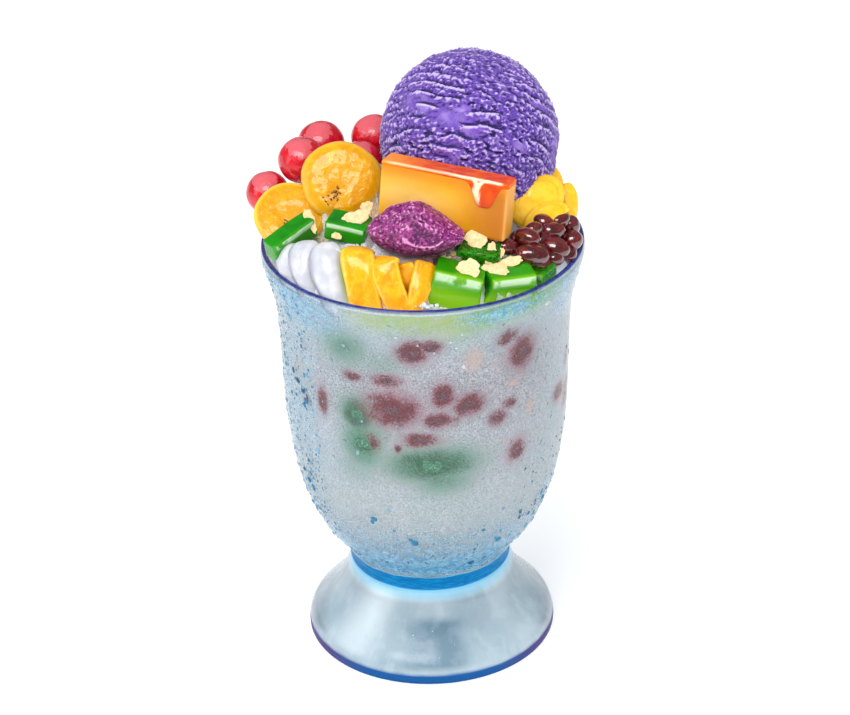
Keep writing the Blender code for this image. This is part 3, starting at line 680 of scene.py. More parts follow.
def look_jackfruit():
    k = Look("sweet_jackfruit")
    fold, edge = k.mark("fold"), k.mark("edge")
    n1, n2 = k.noise(0.16, 3.0, 0.55, 0.8), k.noise(0.5, 3.0, 0.55, 0.8, (1, 1, 0.5))
    base = k.mix(k.span(n1, 0.33, 0.67), srgb("#E49204"), srgb("#F0AA0A"))
    base = k.mix(k.span(n2, 0.45, 0.7, 0.0, 0.6), base, srgb("#F9C445"))
    # painted highlight: lighter stripes near the strip's edges
    base = k.mix(edge, base, srgb("#FACB4C"))
    base = k.mix(k.calc("MULTIPLY", fold, 0.85), base, srgb("#C46A02"))
    normal = k.bump(k.calc("ADD", n2, k.calc("MULTIPLY", n1, 0.8)), 0.30, 0.6)
    return k.done(
        k.shade(Base_Color=base, Roughness=0.3, Specular_IOR_Level=0.2, Coat_Weight=0.5, Coat_Roughness=0.05, Subsurface_Weight=0.22, Subsurface_Radius=(2.4, 1.1, 0.2), Subsurface_Scale=0.001, Normal=normal)
    )


def look_jelly():
    k = Look("green_jelly_cubes")
    glow, rough_cut = k.mark("glow"), k.mark("cut")
    n1, n2 = k.noise(0.14, 3.0, 0.5, 0.7), k.noise(1.0, 4.0, 0.6)
    base = k.mix(k.span(n1, 0.35, 0.65), srgb("#04700C"), srgb("#148C14"))
    base = k.mix(k.span(glow, 0.0, 0.5), base, srgb("#2F9604"))
    base = k.mix(k.span(glow, 0.45, 1.0), base, srgb("#80B806"))
    # painted highlight: a pale strip along the front-top edge
    base = k.mix(k.calc("MULTIPLY", k.mark("strip"), k.span(k.noise(0.22, 2.0), 0.36, 0.5)), base, srgb("#CDE6C4"))
    base = k.mix(k.calc("MULTIPLY", rough_cut, k.span(n2, 0.45, 0.6)), base, srgb("#1C3A0C"))
    base = k.mix(k.calc("MULTIPLY", rough_cut, k.span(n2, 0.62, 0.72)), base, srgb("#B9D88A"))
    normal = k.bump(k.calc("ADD", n1, k.calc("MULTIPLY", k.calc("MULTIPLY", n2, rough_cut), 2.0)), 0.45, 0.5)
    return k.done(
        k.shade(Base_Color=base, Roughness=0.2, Specular_IOR_Level=0.12, Coat_Weight=0.55, Coat_Roughness=0.04, Coat_IOR=1.45, Transmission_Weight=0.08, Subsurface_Weight=0.3, Subsurface_Radius=(0.5, 2.4, 0.3), Subsurface_Scale=0.001, Normal=normal)
    )


def look_bean():
    k = Look("sweet_red_beans")
    n1, n2 = k.noise(0.3, 3.0, 0.5, 0.5), k.noise(1.4, 3.0)
    base = k.mix(k.span(n1, 0.35, 0.65), srgb("#42060A"), srgb("#6A1214"))
    base = k.mix(k.span(n2, 0.58, 0.72, 0.0, 0.5), base, srgb("#8E2A24"))
    base = k.mix(k.mark("eye"), base, srgb("#B9806A"))
    normal = k.bump(k.calc("ADD", n1, k.calc("MULTIPLY", n2, 0.35)), 0.6, 0.6)
    return k.done(
        k.shade(Base_Color=base, Roughness=0.2, Specular_IOR_Level=0.3, Coat_Weight=1.0, Coat_Roughness=0.03, Coat_IOR=1.9, Subsurface_Weight=0.08, Subsurface_Radius=(1.2, 0.2, 0.2), Subsurface_Scale=0.001, Normal=normal)
    )


def look_flake():
    k = Look("toasted_rice_flakes")
    n1, n2 = k.noise(0.8, 3.0, 0.6), k.noise(2.6, 3.0, 0.6)
    base = k.mix(k.span(n1, 0.35, 0.65), srgb("#EBC98C"), srgb("#F6DFB2"))
    base = k.mix(k.span(n2, 0.55, 0.72, 0.0, 0.8), base, srgb("#CFA05C"))
    normal = k.bump(k.calc("ADD", n1, n2), 0.3, 0.8)
    return k.done(k.shade(Base_Color=base, Roughness=0.55, Specular_IOR_Level=0.4, Normal=normal))


def look_sunk_bean():
    k = Look("beans_in_milky_ice")
    n1, n2 = k.noise(1.4, 3.0, 0.6), k.noise(3.0, 2.0)
    base = k.mix(k.span(n1, 0.38, 0.62), srgb("#400414"), srgb("#661228"))
    base = k.mix(k.span(n2, 0.56, 0.68), base, srgb("#A8707F"))
    return k.done(k.shade(Base_Color=base, Roughness=0.35, Normal=k.bump(n1, 0.3, 0.6)))


def look_sunk_jelly():
    k = Look("jelly_in_milky_ice")
    n1, n2 = k.noise(0.9, 3.0, 0.6), k.noise(2.6, 2.0)
    base = k.mix(k.span(n1, 0.38, 0.62), srgb("#10582E"), srgb("#2A784C"))
    base = k.mix(k.span(n2, 0.54, 0.66), base, srgb("#7DB59A"))
    return k.done(k.shade(Base_Color=base, Roughness=0.35, Normal=k.bump(n1, 0.3, 0.6)))


def look_floor():
    k = Look("pale_floor")
    n1 = k.noise(0.004, 2.0)
    base = k.mix(k.span(n1, 0.3, 0.7), (0.965, 0.965, 0.967), (0.975, 0.975, 0.975))
    return k.done(k.shade(Base_Color=base, Roughness=0.9, Specular_IOR_Level=0.1, Emission_Color=(1.0, 1.0, 1.0), Emission_Strength=0.14))


# ------------------------------------------------------------------ the goblet
OUTSIDE = [
    (0.0, 41.9), (2.0, 42.4), (6.0, 41.3), (10.0, 37.7), (15.0, 33.3), (20.0, 30.05), (25.5, 27.95),
    (29.3, 27.2), (32.0, 27.75), (37.0, 29.75), (44.0, 35.6), (52.0, 39.55), (62.0, 43.0), (76.0, 45.7),
    (90.0, 47.05), (104.0, 47.5), (126.0, 48.45), (134.0, 50.0), (140.0, 51.7), (144.5, 52.7), (146.3, 52.5),
]
INSIDE = [
    (37.4, 18.0), (38.6, 24.0), (41.0, 28.6), (46.0, 33.4), (52.0, 37.0), (62.0, 40.6), (76.0, 43.3),
    (90.0, 44.65), (104.0, 45.1), (126.0, 46.05), (134.0, 47.6), (140.0, 49.3), (144.5, 50.3), (146.3, 50.7),
]
_z = np.arange(0, 146.31, 0.1)
_out = np.array([lerp_profile(OUTSIDE, z) for z in _z])
_in = np.array([lerp_profile(INSIDE, z) for z in _z])


def outer_r(z):
    return np.interp(z, _z, _out)


def inner_r(z):
    return np.interp(z, _z, _in)


def arc_blot(az, z, at_az, at_z, wide, tall):
    """1 at (at_az, at_z), falling off over wide and tall mm round the wall."""
    da = (az - at_az + 180) % 360 - 180
    along = np.radians(da) * 46.0
    return np.exp(-((along / wide) ** 2) - ((z - at_z) / tall) ** 2)


SUNK_RED = [
    (-5.0, 130.4, 3.4, 3.2, 1.0), (1.8, 132.4, 3.0, 2.2, 0.8), (40.7, 123.8, 3.6, 4.4, 1.0), (32.8, 131.4, 3.2, 2.8, 0.7),
    (-30.1, 118.6, 2.6, 1.5, 0.75), (-15.7, 118.9, 3.8, 1.9, 0.75), (-13.8, 108.3, 6.0, 4.4, 1.0), (-45.9, 105.5, 1.6, 3.6, 0.9),
    (-56.4, 102.7, 1.5, 1.3, 0.8), (6.5, 113.6, 2.8, 3.4, 0.85), (16.9, 109.5, 3.6, 2.9, 0.95), (3.9, 104.5, 3.9, 2.4, 0.8),
    (-3.0, 97.5, 4.8, 2.1, 0.8), (-22.5, 95.2, 2.3, 2.6, 0.6), (-12.0, 93.8, 0.9, 1.3, 0.8), (34.7, 105.9, 2.2, 1.7, 0.7),
    (29.1, 101.8, 2.5, 2.2, 0.8), (38.8, 87.4, 2.8, 3.2, 0.85), (10.5, 104.0, 3.6, 1.8, 0.5),
]
SUNK_GREEN = [
    (-32.3, 129.4, 6.4, 5.6, 0.75, 0.45), (-18.5, 125.5, 6.4, 4.0, 0.5, 0.15), (-28.9, 104.6, 4.7, 4.6, 1.0, 1.0), (-27.0, 94.0, 5.6, 7.0, 0.95, 0.6),
    (-30.5, 86.0, 7.0, 7.0, 0.5, 0.1), (1.5, 87.8, 12.5, 5.4, 0.95, 0.85), (6.0, 82.0, 9.0, 5.0, 0.7, 0.45), (-12.0, 90.0, 6.0, 4.0, 0.5, 0.2),
]
SUNK_PEACH = [(18.9, 125.6, 4.5, 6.0, 0.8), (28.0, 122.0, 5.0, 6.0, 0.4), (36.5, 112.9, 3.0, 2.0, 0.8), (46.0, 101.6, 2.6, 4.0, 0.8), (32.5, 91.9, 1.9, 1.9, 0.7), (-61.8, 112.5, 3.0, 6.0, 0.8), (40.0, 116.0, 3.0, 6.0, 0.35)]
for _ in range(30):  # the unseen sides hold the same things
    SUNK_RED.append((rng.uniform(62, 295), rng.uniform(92, 134), rng.uniform(1.6, 4.2), rng.uniform(1.5, 3.4), rng.uniform(0.6, 1.0)))
for _ in range(7):
    SUNK_GREEN.append((rng.uniform(72, 285), rng.uniform(84, 130), rng.uniform(5, 9), rng.uniform(4, 6.5), rng.uniform(0.6, 0.95), rng.uniform(0.3, 0.9)))
for _ in range(6):
    SUNK_PEACH.append((rng.uniform(72, 285), rng.uniform(90, 128), rng.uniform(3, 5), rng.uniform(3, 6), 0.7))


def make_goblet():
    inner = [(r, 37.0) for r in np.linspace(0.6, 15.0, 9)]
    inner += [(float(inner_r(z)), z) for z in np.concatenate([np.linspace(37.4, 46, 14), np.linspace(47.5, 146.3, 66)])]
    lip = [(50.84, 146.75), (51.15, 147.0), (51.55, 147.1), (51.95, 147.04), (52.3, 146.8)]
    outer = [(float(outer_r(z)), z) for z in np.concatenate([np.linspace(146.3, 137, 24), np.linspace(136, 40, 78), np.linspace(39, 24, 36), np.linspace(23.2, 1.2, 34)])]
    foot = [(42.32, 0.7), (42.1, 0.3), (41.7, 0.05), (41.2, 0.0), (39.8, 0.0), (39.45, 0.15), (39.2, 0.6)]
    under = [(38.4, 3.0), (36.6, 6.5), (33.0, 11.0), (28.0, 16.8), (22.0, 22.0), (11.0, 24.6), (0.6, 25.0)]
    under = [tuple(p) for p in spline([(39.2, 0.6), *under], 34)[1:]]
    profile = np.array(inner + lip + outer + foot + under)
    side = np.concatenate([np.zeros(len(inner)), np.full(len(lip), 0.5), np.ones(len(outer) + 3), np.full(len(foot) - 3 + len(under), 0.25)])
    segs = 208
    az = np.linspace(0, 360, segs, endpoint=False)
    rows = len(profile)
    A = np.tile(az, rows)
    R = np.repeat(profile[:, 0], segs)
    Z = np.repeat(profile[:, 1], segs)
    S = np.repeat(side, segs)
    V = polar(A, R, Z)
    V = np.concatenate([V, [[0, 0, 37.0], [0, 0, 25.0]]])
    A, Z, S, R = (np.append(q, [0, 0]) for q in (A, Z, S, R))
    Z[-2:] = 37.0, 25.0
    F = fans(around(rows, segs), rows, segs, rows * segs, rows * segs + 1)
    outside = S > 0.9
    wob = fbm(V * 0.16, 2, 3)
    # painted dark edge: a thin navy line round the rim, standing in for its dark internal reflection
    navy = np.where(S > 0.4, step(146.15, 146.65, Z + 0.10 * wob), 0.0)
    azure = outside * step(27.6, 28.8, Z) * step(34.6, 33.2, Z + 0.6 * wob)
    bead = outside * step(4.3, 3.3, Z + 0.3 * wob)
    foot_side = np.clip(np.abs(((A + 180) % 360 - 180)) / 62.0, 0, 1)
    purple = step(0.45, 1.0, foot_side + 0.1 * wob)
    glow = outside * step(22.0, 28.0, Z) * step(29.0, 28.0, Z)
    bowl = outside * step(33.5, 37.0, Z) * step(146.0, 144.5, Z)
    foot_zone = outside * step(28.0, 26.0, Z) * (1 - bead)
    blot = outside * np.clip(
        arc_blot(A, Z, -56, 143.6, 8.0, 1.8) * step(0.0, 0.5, wob + 0.2)
        + arc_blot(A, Z, 28, 144.6, 7.0, 1.2) * step(0.05, 0.5, fbm(V * 0.5, 2, 8))
        + arc_blot(A, Z, 62, 143.4, 8.0, 2.4) * step(0.0, 0.5, fbm(V * 0.4, 2, 9)),
        0,
        1,
    )
    neck = bowl * step(52.0, 35.0, Z + 4.0 * wob)
    body = np.clip(0.96 * navy + 0.97 * azure + 0.95 * bead + 0.72 * glow + 0.85 * blot + 0.02 * bowl + 0.22 * neck + 0.70 * foot_zone, 0, 0.98)
    frost = bowl * 1.0 + 0.35 * foot_zone
    turned = (A + 180) % 360 - 180
    for a, z, w, h, *_ in [*SUNK_RED, *SUNK_GREEN]:  # a clearer view where a piece lies on the wall
        frost *= 1 - 0.62 * arc_blot(A, Z, a, z, w * 1.35, h * 1.35)
    # painted dark reflection: a darker patch at the front of the foot
    shade = foot_zone * step(20.5, 16.5, Z + wob) * step(4.0, 7.0, Z) * np.exp(-(((turned - 2) / 17) ** 4))
    dots = bowl * np.clip(1.25 * np.exp(-(((Z - 36) / 11) ** 2)) + 0.30 * step(76, 44, Z) + 0.22 * step(-40, -72, turned) * step(-150, -110, turned) + 0.35 * step(50, 80, turned) * step(165, 120, turned) * step(92, 60, Z) + 0.9 * arc_blot(A, Z, -52, 140.0, 14.0, 7.0) + 0.9 * arc_blot(A, Z, 30, 143.0, 12.0, 3.0) + 0.5 * arc_blot(A, Z, 64, 138.0, 8.0, 8.0), 0, 1)
    # painted reflection: a pale broad streak on the foot's left, fainter ones at its right and back
    pale_reflection = foot_zone * (0.8 * np.exp(-(((turned + 44 - 0.6 * (Z - 12)) / 13) ** 2)) + 0.2 * np.exp(-(((turned - 52) / 12) ** 2)) + 0.35 * np.exp(-(((turned - 150) / 30) ** 2))) * step(4.0, 8.0, Z)
    piece(
        "goblet", V, F, look_goblet(), replaces=("glass",), slot="glass",
        marks=dict(navy=navy, azure=np.clip(azure + 0.35 * glow + 0.30 * neck, 0, 1), bead=bead, purple=purple, blot=blot, inside=1 - S, frost=frost, body=body, mist=bowl, shade=shade, dots=dots, pale_reflection=np.clip(pale_reflection, 0, 1)),
    )


make_goblet()


# ------------------------------------------------------------------ water drops
def dome(radius, height, segs=9, rings=3):
    """A small drop, flat side down at z = 0, slightly sunk."""
    rows = []
    for k in range(rings):
        t = k / rings * math.pi / 2
        rows.append((radius * math.cos(t), height * math.sin(t) - 0.02))
    rows.insert(0, (radius * 0.8, -0.08))
    a = np.linspace(0, 2 * math.pi, segs, endpoint=False)
    V = np.concatenate([np.stack([r * np.cos(a), r * np.sin(a), np.full(segs, z)], -1) for r, z in rows] + [[[0, 0, -0.08], [0, 0, height - 0.02]]])
    return V, fans(around(len(rows), segs), len(rows), segs, len(rows) * segs, len(rows) * segs + 1)


def on_wall(azimuth, z, lift=0.0):
    """Point on the goblet's outside, and the axes of a drop standing on it."""
    e = 0.3
    slope = float(outer_r(z + e) - outer_r(z - e)) / (2 * e)
    a = math.radians(azimuth)
    out = np.array([math.sin(a), -math.cos(a), 0.0])
    n = out - np.array([0, 0, slope])
    n /= np.linalg.norm(n)
    east = np.array([math.cos(a), math.sin(a), 0.0])
    north = np.cross(n, east)
    r = float(outer_r(z))
    return out * r + np.array([0, 0, z]) + n * lift, np.stack([east, north, n], -1)


def make_drops():
    pile = Pile()
    spots = []
    for _ in range(760):  # dense along the left side, thinning to the front
        az = -48 - abs(rng.normal(0, 24))
        spots.append((az, rng.uniform(50, 145), rng.gamma(2.0, 0.12) + 0.14, rng.uniform(0.2, 1.0)))
    for _ in range(1150):  # a dense band of fine ones just above the neck
        az = rng.uniform(-180, 180)
        z = 34.2 + rng.gamma(1.5, 5.6)
        if z < 74:
            spots.append((az, z, rng.gamma(2.0, 0.09) + 0.12, rng.uniform(0.25, 1.0)))
    for _ in range(520):  # clear beads of water over the sunk pieces
        spots.append((rng.uniform(-180, 180) if rng.random() < 0.4 else rng.uniform(-55, 55), rng.uniform(84, 142), rng.gamma(2.2, 0.10) + 0.16, 0.0))
    for _ in range(420):  # a few all over
        spots.append((rng.uniform(-180, 180), rng.uniform(40, 144), rng.gamma(2.0, 0.07) + 0.10, rng.uniform(0.0, 0.7)))
    for _ in range(160):  # along the right side, low
        spots.append((rng.normal(62, 14), rng.uniform(42, 84), rng.gamma(2.0, 0.10) + 0.14, rng.uniform(0.3, 1.0)))
    for az, z, size in (
        (-62.3, 68.9, 1.2), (-60.0, 66.4, 1.0), (-65.5, 71.8, 0.9), (-24.6, 64.5, 1.1), (-25.6, 63.0, 0.7), (-66, 38.5, 1.5),
        (-60.0, 36.6, 1.1), (-7.0, 55.4, 1.3), (-8.8, 56.9, 0.7), (24.1, 40.9, 1.4), (35.3, 50.7, 1.2), (45.1, 59.8, 0.7),
        (45.6, 57.4, 0.6), (64.6, 58.4, 0.8), (66.0, 61.4, 0.6), (-73, 55.0, 1.0), (-76, 50.5, 0.9), (-57.0, 105.5, 1.0), (-60.5, 108.0, 1.1), (-64.0, 110.5, 0.9),
    ):
        spots.append((az, z, size, 1.0))
    for az, z, size, tone in spots:
        size = min(size, 1.5)
        V, F = dome(size, size * rng.uniform(0.35, 0.6), 6 if size < 0.45 else 12, 2 if size < 0.45 else 4)
        V = V * np.array([1.0, rng.uniform(0.9, 1.35), 1.0])
        V[:, :2] *= 1 + 0.12 * np.sin(np.arctan2(V[:, 1], V[:, 0])[:, None] * 2 + rng.uniform(0, 6))
        at, axes = on_wall(az, z)
        pile.add(at + V @ axes.T, F, tone=tone)
    for az, z, size in ((-11, 14, 0.7), (-8.5, 21.5, 0.55), (-5.5, 22.2, 0.5), (0.5, 15.0, 0.8), (3.0, 8.5, 0.6), (12.5, 11.5, 0.7), (-27, 19.0, 0.5), (-35, 14.5, 0.45), (-30, 12.2, 0.5), (-24, 21.0, 0.4), (-38, 11.0, 0.5)):
        V, F = dome(size, size * 0.45, 12, 3)
        at, axes = on_wall(az, z)
        pile.add(at + V * np.array([1.0, 1.6, 1.0]) @ axes.T, F, tone=0.05)
    pile.make("water_drops", look_drops())


make_drops()


# ------------------------------------------------------------------ shaved ice
toppings = [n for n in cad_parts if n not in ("glass", "shaved_ice")]
soup_v, soup_f = [], []
for node in toppings:
    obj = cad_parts[node]
    start = len(soup_v)
    for v in obj.data.vertices:
        p = (np.array(obj.matrix_world @ v.co) - OFF) / UNIT
        soup_v.append(Vector(p))
    for poly in obj.data.polygons:
        soup_f.append(tuple(start + i for i in poly.vertices))
soup = BVHTree.FromPolygons(soup_v, soup_f)


def heap_height(x, y):
    r = np.hypot(x, y)
    edge = np.maximum(0.0, 1.0 - (r / 49.9) ** 14)
    rise = 17.0 * (1.0 - np.minimum(1.0, r / 49.6) ** 2.4)
    behind = 13.0 * np.exp(-((x + 30.0) ** 2 + (y - 24.0) ** 2) / 338.0) * edge
    P = np.stack([x, y, np.full_like(x, 3.0)], -1)
    return 146.4 + rise + behind + 1.1 * perlin(P * 0.11, 5) * edge - 1.2 * step(48.6, 50.4, r)


# what is sunk near the wall: azimuth, height, half width, half height, strength
def make_ice():
    segs = 288
    side = [(r, 36.85) for r in (1.0, 6.0, 11.0, 15.0)]
    side += [(float(inner_r(z)) + 0.2, z) for z in np.concatenate([[37.2], np.linspace(37.8, 46, 14), np.linspace(46.8, 145.0, 142)])]
    radii = np.concatenate([[50.35, 49.9, 49.3, 48.6], np.linspace(47.8, 0.8, 70)])
    side = np.array(side)
    az = np.linspace(0, 360, segs, endpoint=False)
    A = np.tile(az, len(side))
    R, Z = np.repeat(side[:, 0], segs), np.repeat(side[:, 1], segs)
    low = polar(A, R, Z)
    At = np.tile(az, len(radii))
    Rt = np.repeat(radii, segs)
    top = polar(At, Rt, np.zeros(len(At)))
    high = heap_height(top[:, 0], top[:, 1])
    grain = np.stack([top[:, 0], top[:, 1], high], -1)
    f1, f2 = cells(grain * 0.62, 11)
    rough = 0.55 * (0.6 - f1) + 0.35 * fbm(grain * 0.9, 2, 12) + 0.5 * fbm(grain * 0.28, 2, 13)
    edge = step(50.2, 48.5, Rt)
    high = high + rough * edge
    # the open surface lies lower at the front and climbs the wall by a lip
    front = step(12.0, -12.0, top[:, 1])
    level = 142.4 + 0.60 * (high - 146.4) + 0.6 * rough - 1.2 * step(-20, -34, top[:, 1])
    level = np.where(Rt > 47.6, 142.9 + (Rt - 47.6) * 0.80 + 0.3 * rough * edge, level)
    opened = high + (np.minimum(level, high) - high) * front
    # lowered under whatever is bedded in it, a little into its underside
    up = Vector((0, 0, 1))
    for n in range(len(top)):
        hit = soup.ray_cast(Vector((top[n, 0], top[n, 1], 60.0)), up)[0]
        if hit is None:
            high[n] = opened[n]
        elif hit.z + 0.4 < high[n]:
            high[n] = max(hit.z + 0.4, min(opened[n], hit.z + 0.4))
    high = np.maximum(high, 139.0)
    top[:, 2] = high
    V = np.concatenate([low, top, [[0, 0, 36.85], [0, 0, float(high[-segs:].mean())]]])
    rows = len(side) + len(radii)
    F = fans(around(rows, segs), rows, segs, rows * segs, rows * segs + 1)
    az_all = np.concatenate([A, At, [0, 0]])
    z_all = V[:, 2]
    is_top = np.concatenate([step(144.2, 145.0, Z), np.ones(len(At)), [0, 1]])
    red, deep = np.zeros(len(V)), np.zeros(len(V))
    for a, z, w, h, s in SUNK_RED:
        ragged = 1 + 0.55 * perlin(V * 0.33 + a, 14)
        b = arc_blot(az_all, z_all, a, z, w * 1.45, h * 1.45) * ragged
        red = np.maximum(red, s * 0.8 * arc_blot(az_all, z_all, a, z, w * 2.3, h * 2.3))
        deep = np.maximum(deep, s * b)
    green, forest, peach = (np.zeros(len(V)) for _ in range(3))
    for a, z, w, h, s, f in SUNK_GREEN:
        green = np.maximum(green, s * arc_blot(az_all, z_all, a, z, w * 1.7, h * 1.7))
        forest = np.maximum(forest, f * arc_blot(az_all, z_all, a, z, w * 1.25, h * 1.25) * (1 + 0.35 * perlin(V * 0.25 + a, 15)))
    for a, z, w, h, s in SUNK_PEACH:
        peach = np.maximum(peach, s * arc_blot(az_all, z_all, a, z, w, h))
    da = (az_all + 180) % 360 - 180
    lime = step(-40, -12, da) * step(72, 44, da) * step(134.5, 143.5, z_all)
    lime = np.clip(lime + 0.6 * arc_blot(az_all, z_all, 12.5, 140.0, 9.0, 6.0), 0, 1)
    cool = np.clip(step(-10, -75, da) + 0.6 * step(35, 75, da) + 0.8 * step(118, 140, z_all) + 0.5 * step(64, 44, z_all), 0, 1)
    beige = step(84, 68, z_all) * step(40, 54, z_all) * 0.8
    murk = (1 - is_top) * np.exp(-(((z_all - 114) / 17) ** 2)) * step(72, 40, np.abs((az_all + 180) % 360 - 180))
    # painted shade: dark red on the ice under the jam
    jam_shadow = is_top * np.exp(-(((V[:, 0] - 2) / 15) ** 2) - ((V[:, 1] + 33) / 6) ** 2)
    green_wet = is_top * (np.exp(-(((V[:, 0] - 22) / 17) ** 2) - ((V[:, 1] + 36) / 13) ** 2) + 0.8 * np.exp(-(((V[:, 0] + 36) / 9) ** 2) - ((V[:, 1] + 14) / 9) ** 2))
    gold_wet = is_top * (np.exp(-(((V[:, 0] + 7) / 12) ** 2) - ((V[:, 1] + 43) / 6) ** 2) + np.exp(-(((V[:, 0] + 20) / 12) ** 2) - ((V[:, 1] + 5) / 12) ** 2))
    piece(
        "milky_ice", V, F, look_ice(), replaces=("shaved_ice",), slot="shaved_ice",
        marks=dict(top=is_top, red=red, deep=deep, green=green, forest=forest, peach=peach, lime=lime, lime_hue=step(5, 30, da), cool=cool, beige=beige, murk=murk, jam_shadow=jam_shadow, green_wet=np.clip(green_wet, 0, 1), gold_wet=np.clip(gold_wet, 0, 1)),
    )
    return V, F[-2 * segs * len(radii) :]


ice = make_ice()
ice_tree = BVHTree.FromPolygons([Vector(p) for p in ice[0]], [tuple(f) for f in ice[1]])


def make_grains():
    pile = Pile()
    ico = [(-1, 1.618, 0), (1, 1.618, 0), (-1, -1.618, 0), (1, -1.618, 0), (0, -1, 1.618), (0, 1, 1.618), (0, -1, -1.618), (0, 1, -1.618), (1.618, 0, -1), (1.618, 0, 1), (-1.618, 0, -1), (-1.618, 0, 1)]
    ico_f = np.array([(0, 11, 5), (0, 5, 1), (0, 1, 7), (0, 7, 10), (0, 10, 11), (1, 5, 9), (5, 11, 4), (11, 10, 2), (10, 7, 6), (7, 1, 8), (3, 9, 4), (3, 4, 2), (3, 2, 6), (3, 6, 8), (3, 8, 9), (4, 9, 5), (2, 4, 11), (6, 2, 10), (8, 6, 7), (9, 8, 1)])
    ico = np.array(ico) / 1.9
    made = 0
    for _ in range(5200):
        r, a = 49.6 * math.sqrt(rng.uniform(0, 1)), rng.uniform(0, 360)
        x, y = polar(a, r, 0.0)[:2]
        size = rng.gamma(3.0, 0.14) + 0.22
        jag, spin = rng.uniform(0.55, 1.3, (12, 1)), Euler(rng.uniform(0, 6.28, 3)).to_matrix()
        down = ice_tree.ray_cast(Vector((x, y, 260.0)), Vector((0, 0, -1)))[0]
        if down is None:
            continue
        z = down.z
        above = soup.ray_cast(Vector((x, y, 260.0)), Vector((0, 0, -1)))[0]
        if above is not None and above.z > z - 0.8:
            continue
        V = ico * jag * np.array([1.0, rng.uniform(0.5, 1.0), rng.uniform(0.35, 0.8)]) * min(size, 1.3)
        pile.add(V @ np.array(spin).T + np.array([x, y, z + 0.15]), ico_f)
        made += 1
        if made >= 1800:
            break
    for _ in range(46):
        V = ico * rng.uniform(0.7, 1.2, (12, 1)) * (0.30 + rng.gamma(2.0, 0.13))
        pile.add(V + np.array([-1.6 + rng.normal(0, 2.2), -46.9 + abs(rng.normal(0, 0.7)), 145.2 + rng.uniform(0, 1.1)]), ico_f)
    pile.make("ice_grains", look_grains(), slot="shaved_ice", flat=True)


make_grains()


def make_sunk():
    """Beans and jelly that press against the wall: their caps reach it."""
    beans, cubes = Pile(), Pile()
    B, BF = ball_grid(10)
    for a, z, w, h, s in SUNK_RED:
        if s < 0.75 or w < 1.4:
            continue
        wide, tall = min(w, 4.2), min(h, 3.2)
        r = float(inner_r(z)) + 0.2
        shape = B * np.array([wide * 0.95, 1.5, tall * 0.95]) * (1 + 0.10 * perlin(B * 2.0 + a, 6)[:, None])
        out = polar(a, 1.0, 0.0)
        east = np.array([math.cos(math.radians(a)), math.sin(math.radians(a)), 0.0])
        tilt = rng.uniform(-0.6, 0.6)
        e2 = east * math.cos(tilt) + np.array([0, 0, math.sin(tilt)])
        up = np.cross(out, e2)
        M = np.stack([e2, out, up], -1)
        centre = polar(a, r - 1.30, z)
        beans.add(centre + shape @ M.T, BF)
    for a, z, w, h, s, f in SUNK_GREEN:
        if f < 0.55:
            continue
        V, CF, _ = boxed((min(w, 6.5) * 1.15, 5.0, min(h, 5.5) * 1.2), 1.3, (6, 4, 6))
        r = float(inner_r(z)) + 0.2
        out = polar(a, 1.0, 0.0)
        east = np.array([math.cos(math.radians(a)), math.sin(math.radians(a)), 0.0])
        tilt = rng.uniform(-0.4, 0.4)
        e2 = east * math.cos(tilt) + np.array([0, 0, math.sin(tilt)])
        M = np.stack([e2, out, np.cross(e2, out)], -1)
        cubes.add(polar(a, r - 2.42, z) + (V * (1 + 0.05 * perlin(V * 0.5, 4)[:, None])) @ M.T, CF)
    beans.make("sunk_beans", look_sunk_bean(), slot="red_bean")
    cubes.make("sunk_jelly", look_sunk_jelly(), slot="green_jelly")


make_sunk()


